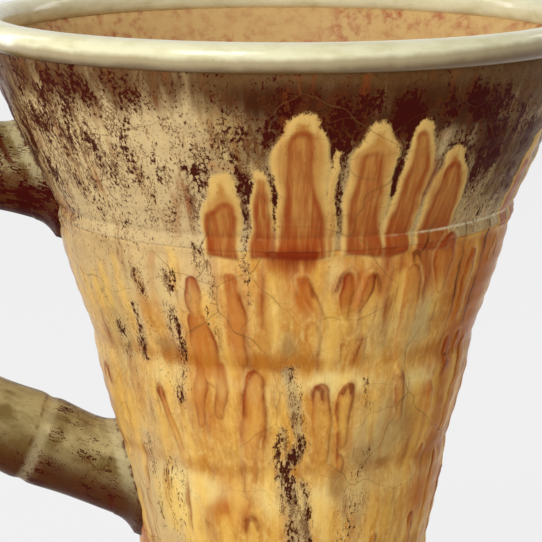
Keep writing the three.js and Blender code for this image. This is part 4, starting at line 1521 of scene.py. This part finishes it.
def bar_glaze(name, density, past_edge):
    """Glaze for the bar or its coils; the dark slit lies past_edge millimetres past the coil's edge."""
    finish, shader, bump = new_finish(name, 0.3)
    flow = place()
    cloudy = mottle(flow, 7.0, 12.0, detail=4.0)
    broken = fade(mottle(flow, 2.0, 2.0, detail=4.0), 0.44, 0.58)
    ring = mark("ring")
    under = total(mark("under"), off_middle(cloudy, 0.3))
    off = total(mark("off_wall"), off_middle(mottle(flow, 1.5, 1.5), 0.7))
    slit_at = COIL_HEIGHT + past_edge
    open_edge = total(mark("crease"), off_middle(cloudy, 0.3))
    glaze = coat(OLIVE, OLIVE_PALE, fade(cloudy, 0.36, 0.66))
    glaze = coat(glaze, RIDGE, 0.45, near(off, 1.4, 1.0, 2.4))
    # Painted shade on the bar's underside, darkest at its lower edge.
    glaze = coat(glaze, SHADE_AND_STAIN_BROWN, 0.9, fade(under, 0.1, 1.0))
    glaze = coat(glaze, OXIDE, 0.6, fade(under, 0.65, 1.1))
    # A painted highlight on the swell of each ring; beside it, dark glaze pooled in the ring's crease,
    # deepened with painted shade.
    glaze = coat(glaze, RIDGE, 0.3, near(ring, -0.6, 0.4, 3.0))
    glaze = coat(glaze, CREASE, 0.5, broken, near(ring, 1.9, 0.1, 0.9))
    glaze = coat(glaze, CREASE, 0.85, broken, near(off, 0.1, 0.2, 1.0))
    glaze = coat(glaze, CREASE, 0.9, fade(open_edge, 0.35, 0.7), near(off, slit_at, 0.3, 1.1))
    gathered = total(near(off, slit_at + 3.0, 1.0, 7.0), near(ring, -3.5, 1.0, 4.0))
    thick = total(density, part(0.25, under), part(0.75, mark("pool")), part(0.3, gathered))
    specks = use_group(oxide_specks, Density=thick, Width=0.42, Length=0.6)
    dust = use_group(oxide_specks, Density=thick, Width=0.3, Length=0.4)
    glaze = coat(glaze, RUST, 0.6, dust["Speck"])
    glaze = coat(glaze, RUST, 0.3, specks["Stain"])
    glaze = coat(glaze, OXIDE, specks["Speck"])
    rough = at_least(0.2, 0.2, specks["Speck"])
    dress(shader, bump, glaze, rough, total(cloudy, part(0.2, specks["Speck"])))
    return finish


handle_glaze = bar_glaze("handle_glaze", density=0.3, past_edge=1.0)
coil_glaze = bar_glaze("coil_glaze", density=0.4, past_edge=0.8)
print("the handle's glaze has", len(handle_glaze.node_tree.nodes), "nodes")

# %% Lip glaze and bare clay
LIP_CREAM = colour(240, 234, 194)
LIP_OLIVE = colour(214, 204, 150)
# Tan and brown paint the shade on the lip's lower half.
LIP_SHADE_TAN = colour(170, 152, 112)
LIP_SHADE_BROWN = colour(104, 72, 30)
LIP_GLOSS = 0.4
LIP_IOR = 1.5
CLAY = colour(196, 158, 122)
CLAY_DARK = colour(164, 124, 92)
GRIT = colour(112, 84, 64)
MM_IN_METRE = (1 / MM, 1 / MM, 1 / MM)


def object_place():
    """The corner's own place, in millimetres."""
    return vector("MULTIPLY", new_node("TexCoord").outputs["Object"], MM_IN_METRE)


lip_glaze, shader, bump = new_finish("lip_glaze", 0.3)
shader.inputs["Specular IOR Level"].default_value = LIP_GLOSS
shader.inputs["IOR"].default_value = LIP_IOR
where = object_place()
cloudy = mottle(where, 9.0, 3.0, detail=4.0)
painted_lip_shade = total(mark("painted_lip_shade"), off_middle(mottle(where, 6.0, 6.0, detail=4.0), 0.8))
stains = fade(mottle(where, 2.0, 1.0, detail=5.0, roughness=0.65), 0.66, 0.76)
glaze = coat(LIP_CREAM, LIP_OLIVE, 0.6, fade(cloudy, 0.40, 0.72))
# Painted shade: the lip's lower half turns tan and then brown, lower down on the right.
glaze = coat(glaze, LIP_SHADE_TAN, 0.95, fade(painted_lip_shade, -0.2, 1.6))
glaze = coat(glaze, LIP_SHADE_BROWN, 0.9, fade(painted_lip_shade, 1.6, 4.0))
glaze = coat(glaze, SHADE_AND_STAIN_BROWN, 0.35, stains)
dress(shader, bump, glaze, at_least(0.12, 0.14, cloudy), cloudy)

bare_clay, shader, bump = new_finish("bare_clay", 0.25, 0.7)
where = object_place()
cloudy = mottle(where, 12.0, 12.0, detail=5.0)
gritty = mottle(where, 0.8, 0.8, detail=4.0, roughness=0.6)
clay = coat(CLAY, CLAY_DARK, fade(cloudy, 0.4, 0.66))
clay = coat(clay, GRIT, 0.7, fade(gritty, 0.62, 0.7))
dress(shader, bump, clay, at_least(0.72, 0.2, cloudy), gritty)
print("materials:", ", ".join(sorted(material.name for material in bpy.data.materials)))

# %% [markdown]
# ## Handing the pieces over
# Each piece now gets its finish and rides on the one body that the vase has, and the solid in the frame
# that it stands for is hidden.

# %% Finish, ride and replace
pieces = [
    (lip, lip_glaze, "rim_lip", "lip_glaze"),
    (mouth, stone_glaze, "mouth_section", "stone_glaze"),
    (body, honey_glaze, "body_section", "honey_glaze"),
    (foot, honey_glaze, "foot_section", "honey_glaze"),
    (base, bare_clay, "base_slab", "bare_clay"),
    (handle, handle_glaze, "handle_bar", "stone_glaze"),
    (upper_coil, coil_glaze, "upper_root_coil", "stone_glaze"),
    (lower_coil, coil_glaze, "lower_root_coil", "stone_glaze"),
]
for piece, finish, node, slot in pieces:
    piece.data.materials.clear()
    piece.data.materials.append(finish)
    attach(piece, "root")
    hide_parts(node)
    print(piece.name, "stands for", node)

# %% [markdown]
# ## Floor, light and camera
# The vase stands on a wide pale floor. Three soft boxes light it plainly, and the floor and the world look
# near white to the camera and in reflections without lighting the vase any more. The camera stands a little
# above the mouth's height, looks slightly down, and has a long lens, as the photograph was taken.

# %% Floor and world
FLOOR_SIZE = 16.0
FLOOR_ROUGHNESS = 0.9
PALE = colour(243, 243, 243)
FLOOR_GLOW = 0.92        # how much of the floor's look is its own paleness and not the lamps' light
WORLD_LIGHT = 0.3


def seen_rays():
    """1 for rays from the camera or a glossy bounce, and 0 for the rest."""
    path = new_node("LightPath")
    return calc("MAXIMUM", path.outputs["Is Camera Ray"], path.outputs["Is Glossy Ray"])


deselect()
bpy.ops.mesh.primitive_plane_add(size=FLOOR_SIZE)
floor = bpy.context.object
floor.name = "floor"
floor_paint = bpy.data.materials.new("floor_paint")
floor_paint.use_nodes = True
Bench.tree = floor_paint.node_tree
shader = Bench.tree.nodes["Principled BSDF"]
shader.inputs["Base Color"].default_value = PALE
shader.inputs["Roughness"].default_value = FLOOR_ROUGHNESS
glow = new_node("Emission", Color=PALE, Strength=1.0)
mixed = new_node("MixShader", part(seen_rays(), FLOOR_GLOW), shader.outputs[0], glow.outputs[0])
feed(Bench.tree.nodes["Material Output"].inputs["Surface"], mixed.outputs[0])
floor.data.materials.append(floor_paint)

world = bpy.data.worlds.new("studio")
bpy.context.scene.world = world
world.use_nodes = True
Bench.tree = world.node_tree
sky = Bench.tree.nodes["Background"]
sky.inputs["Color"].default_value = PALE
strength = new_node("MapRange", Value=seen_rays(), To_Min=WORLD_LIGHT, To_Max=1.0)
feed(sky.inputs["Strength"], strength.outputs["Result"])
print("floor and world are pale")

# %% Soft boxes
AIM = Vector((0, 0, 0.19))
# A soft box: name, place, width and height in metres, and watts.
SOFT_BOXES = [
    ("front_box", (-0.6, -1.05, 0.95), 0.6, 0.6, 13.5),
    ("left_strip", (-1.0, 0.55, 0.5), 0.25, 1.0, 4),
    ("right_strip", (0.95, 0.6, 0.5), 0.25, 1.0, 3),
]

for name, where, width, tall, watts in SOFT_BOXES:
    deselect()
    bpy.ops.object.light_add(type="AREA", location=where)
    lamp = bpy.context.object
    lamp.name = name
    lamp.data.shape = "RECTANGLE"
    lamp.data.size = width
    lamp.data.size_y = tall
    lamp.data.energy = watts
    lamp.rotation_euler = (AIM - Vector(where)).to_track_quat("-Z", "Y").to_euler()
print(len(SOFT_BOXES), "soft boxes")

# %% Camera
CAMERA_AWAY = 560.0
CAMERA_HEIGHT = 326.2
CAMERA_ASIDE = -3.2
CAMERA_PITCH = 77.4      # degrees: 90 would look level
LENS = 140.0
SENSOR = 36.0

deselect()
turned = math.radians(FRONT_TURN)
camera_x = CAMERA_ASIDE * math.cos(turned) + CAMERA_AWAY * math.sin(turned)
camera_y = CAMERA_ASIDE * math.sin(turned) - CAMERA_AWAY * math.cos(turned)
bpy.ops.object.camera_add(location=(camera_x * MM, camera_y * MM, CAMERA_HEIGHT * MM),
                          rotation=(math.radians(CAMERA_PITCH), 0, turned))
camera = bpy.context.object
camera.data.lens = LENS
camera.data.sensor_width = SENSOR
bpy.context.scene.camera = camera
bpy.context.scene.view_settings.view_transform = "Standard"
print("camera at", round(camera_x), round(camera_y), round(CAMERA_HEIGHT), "mm")
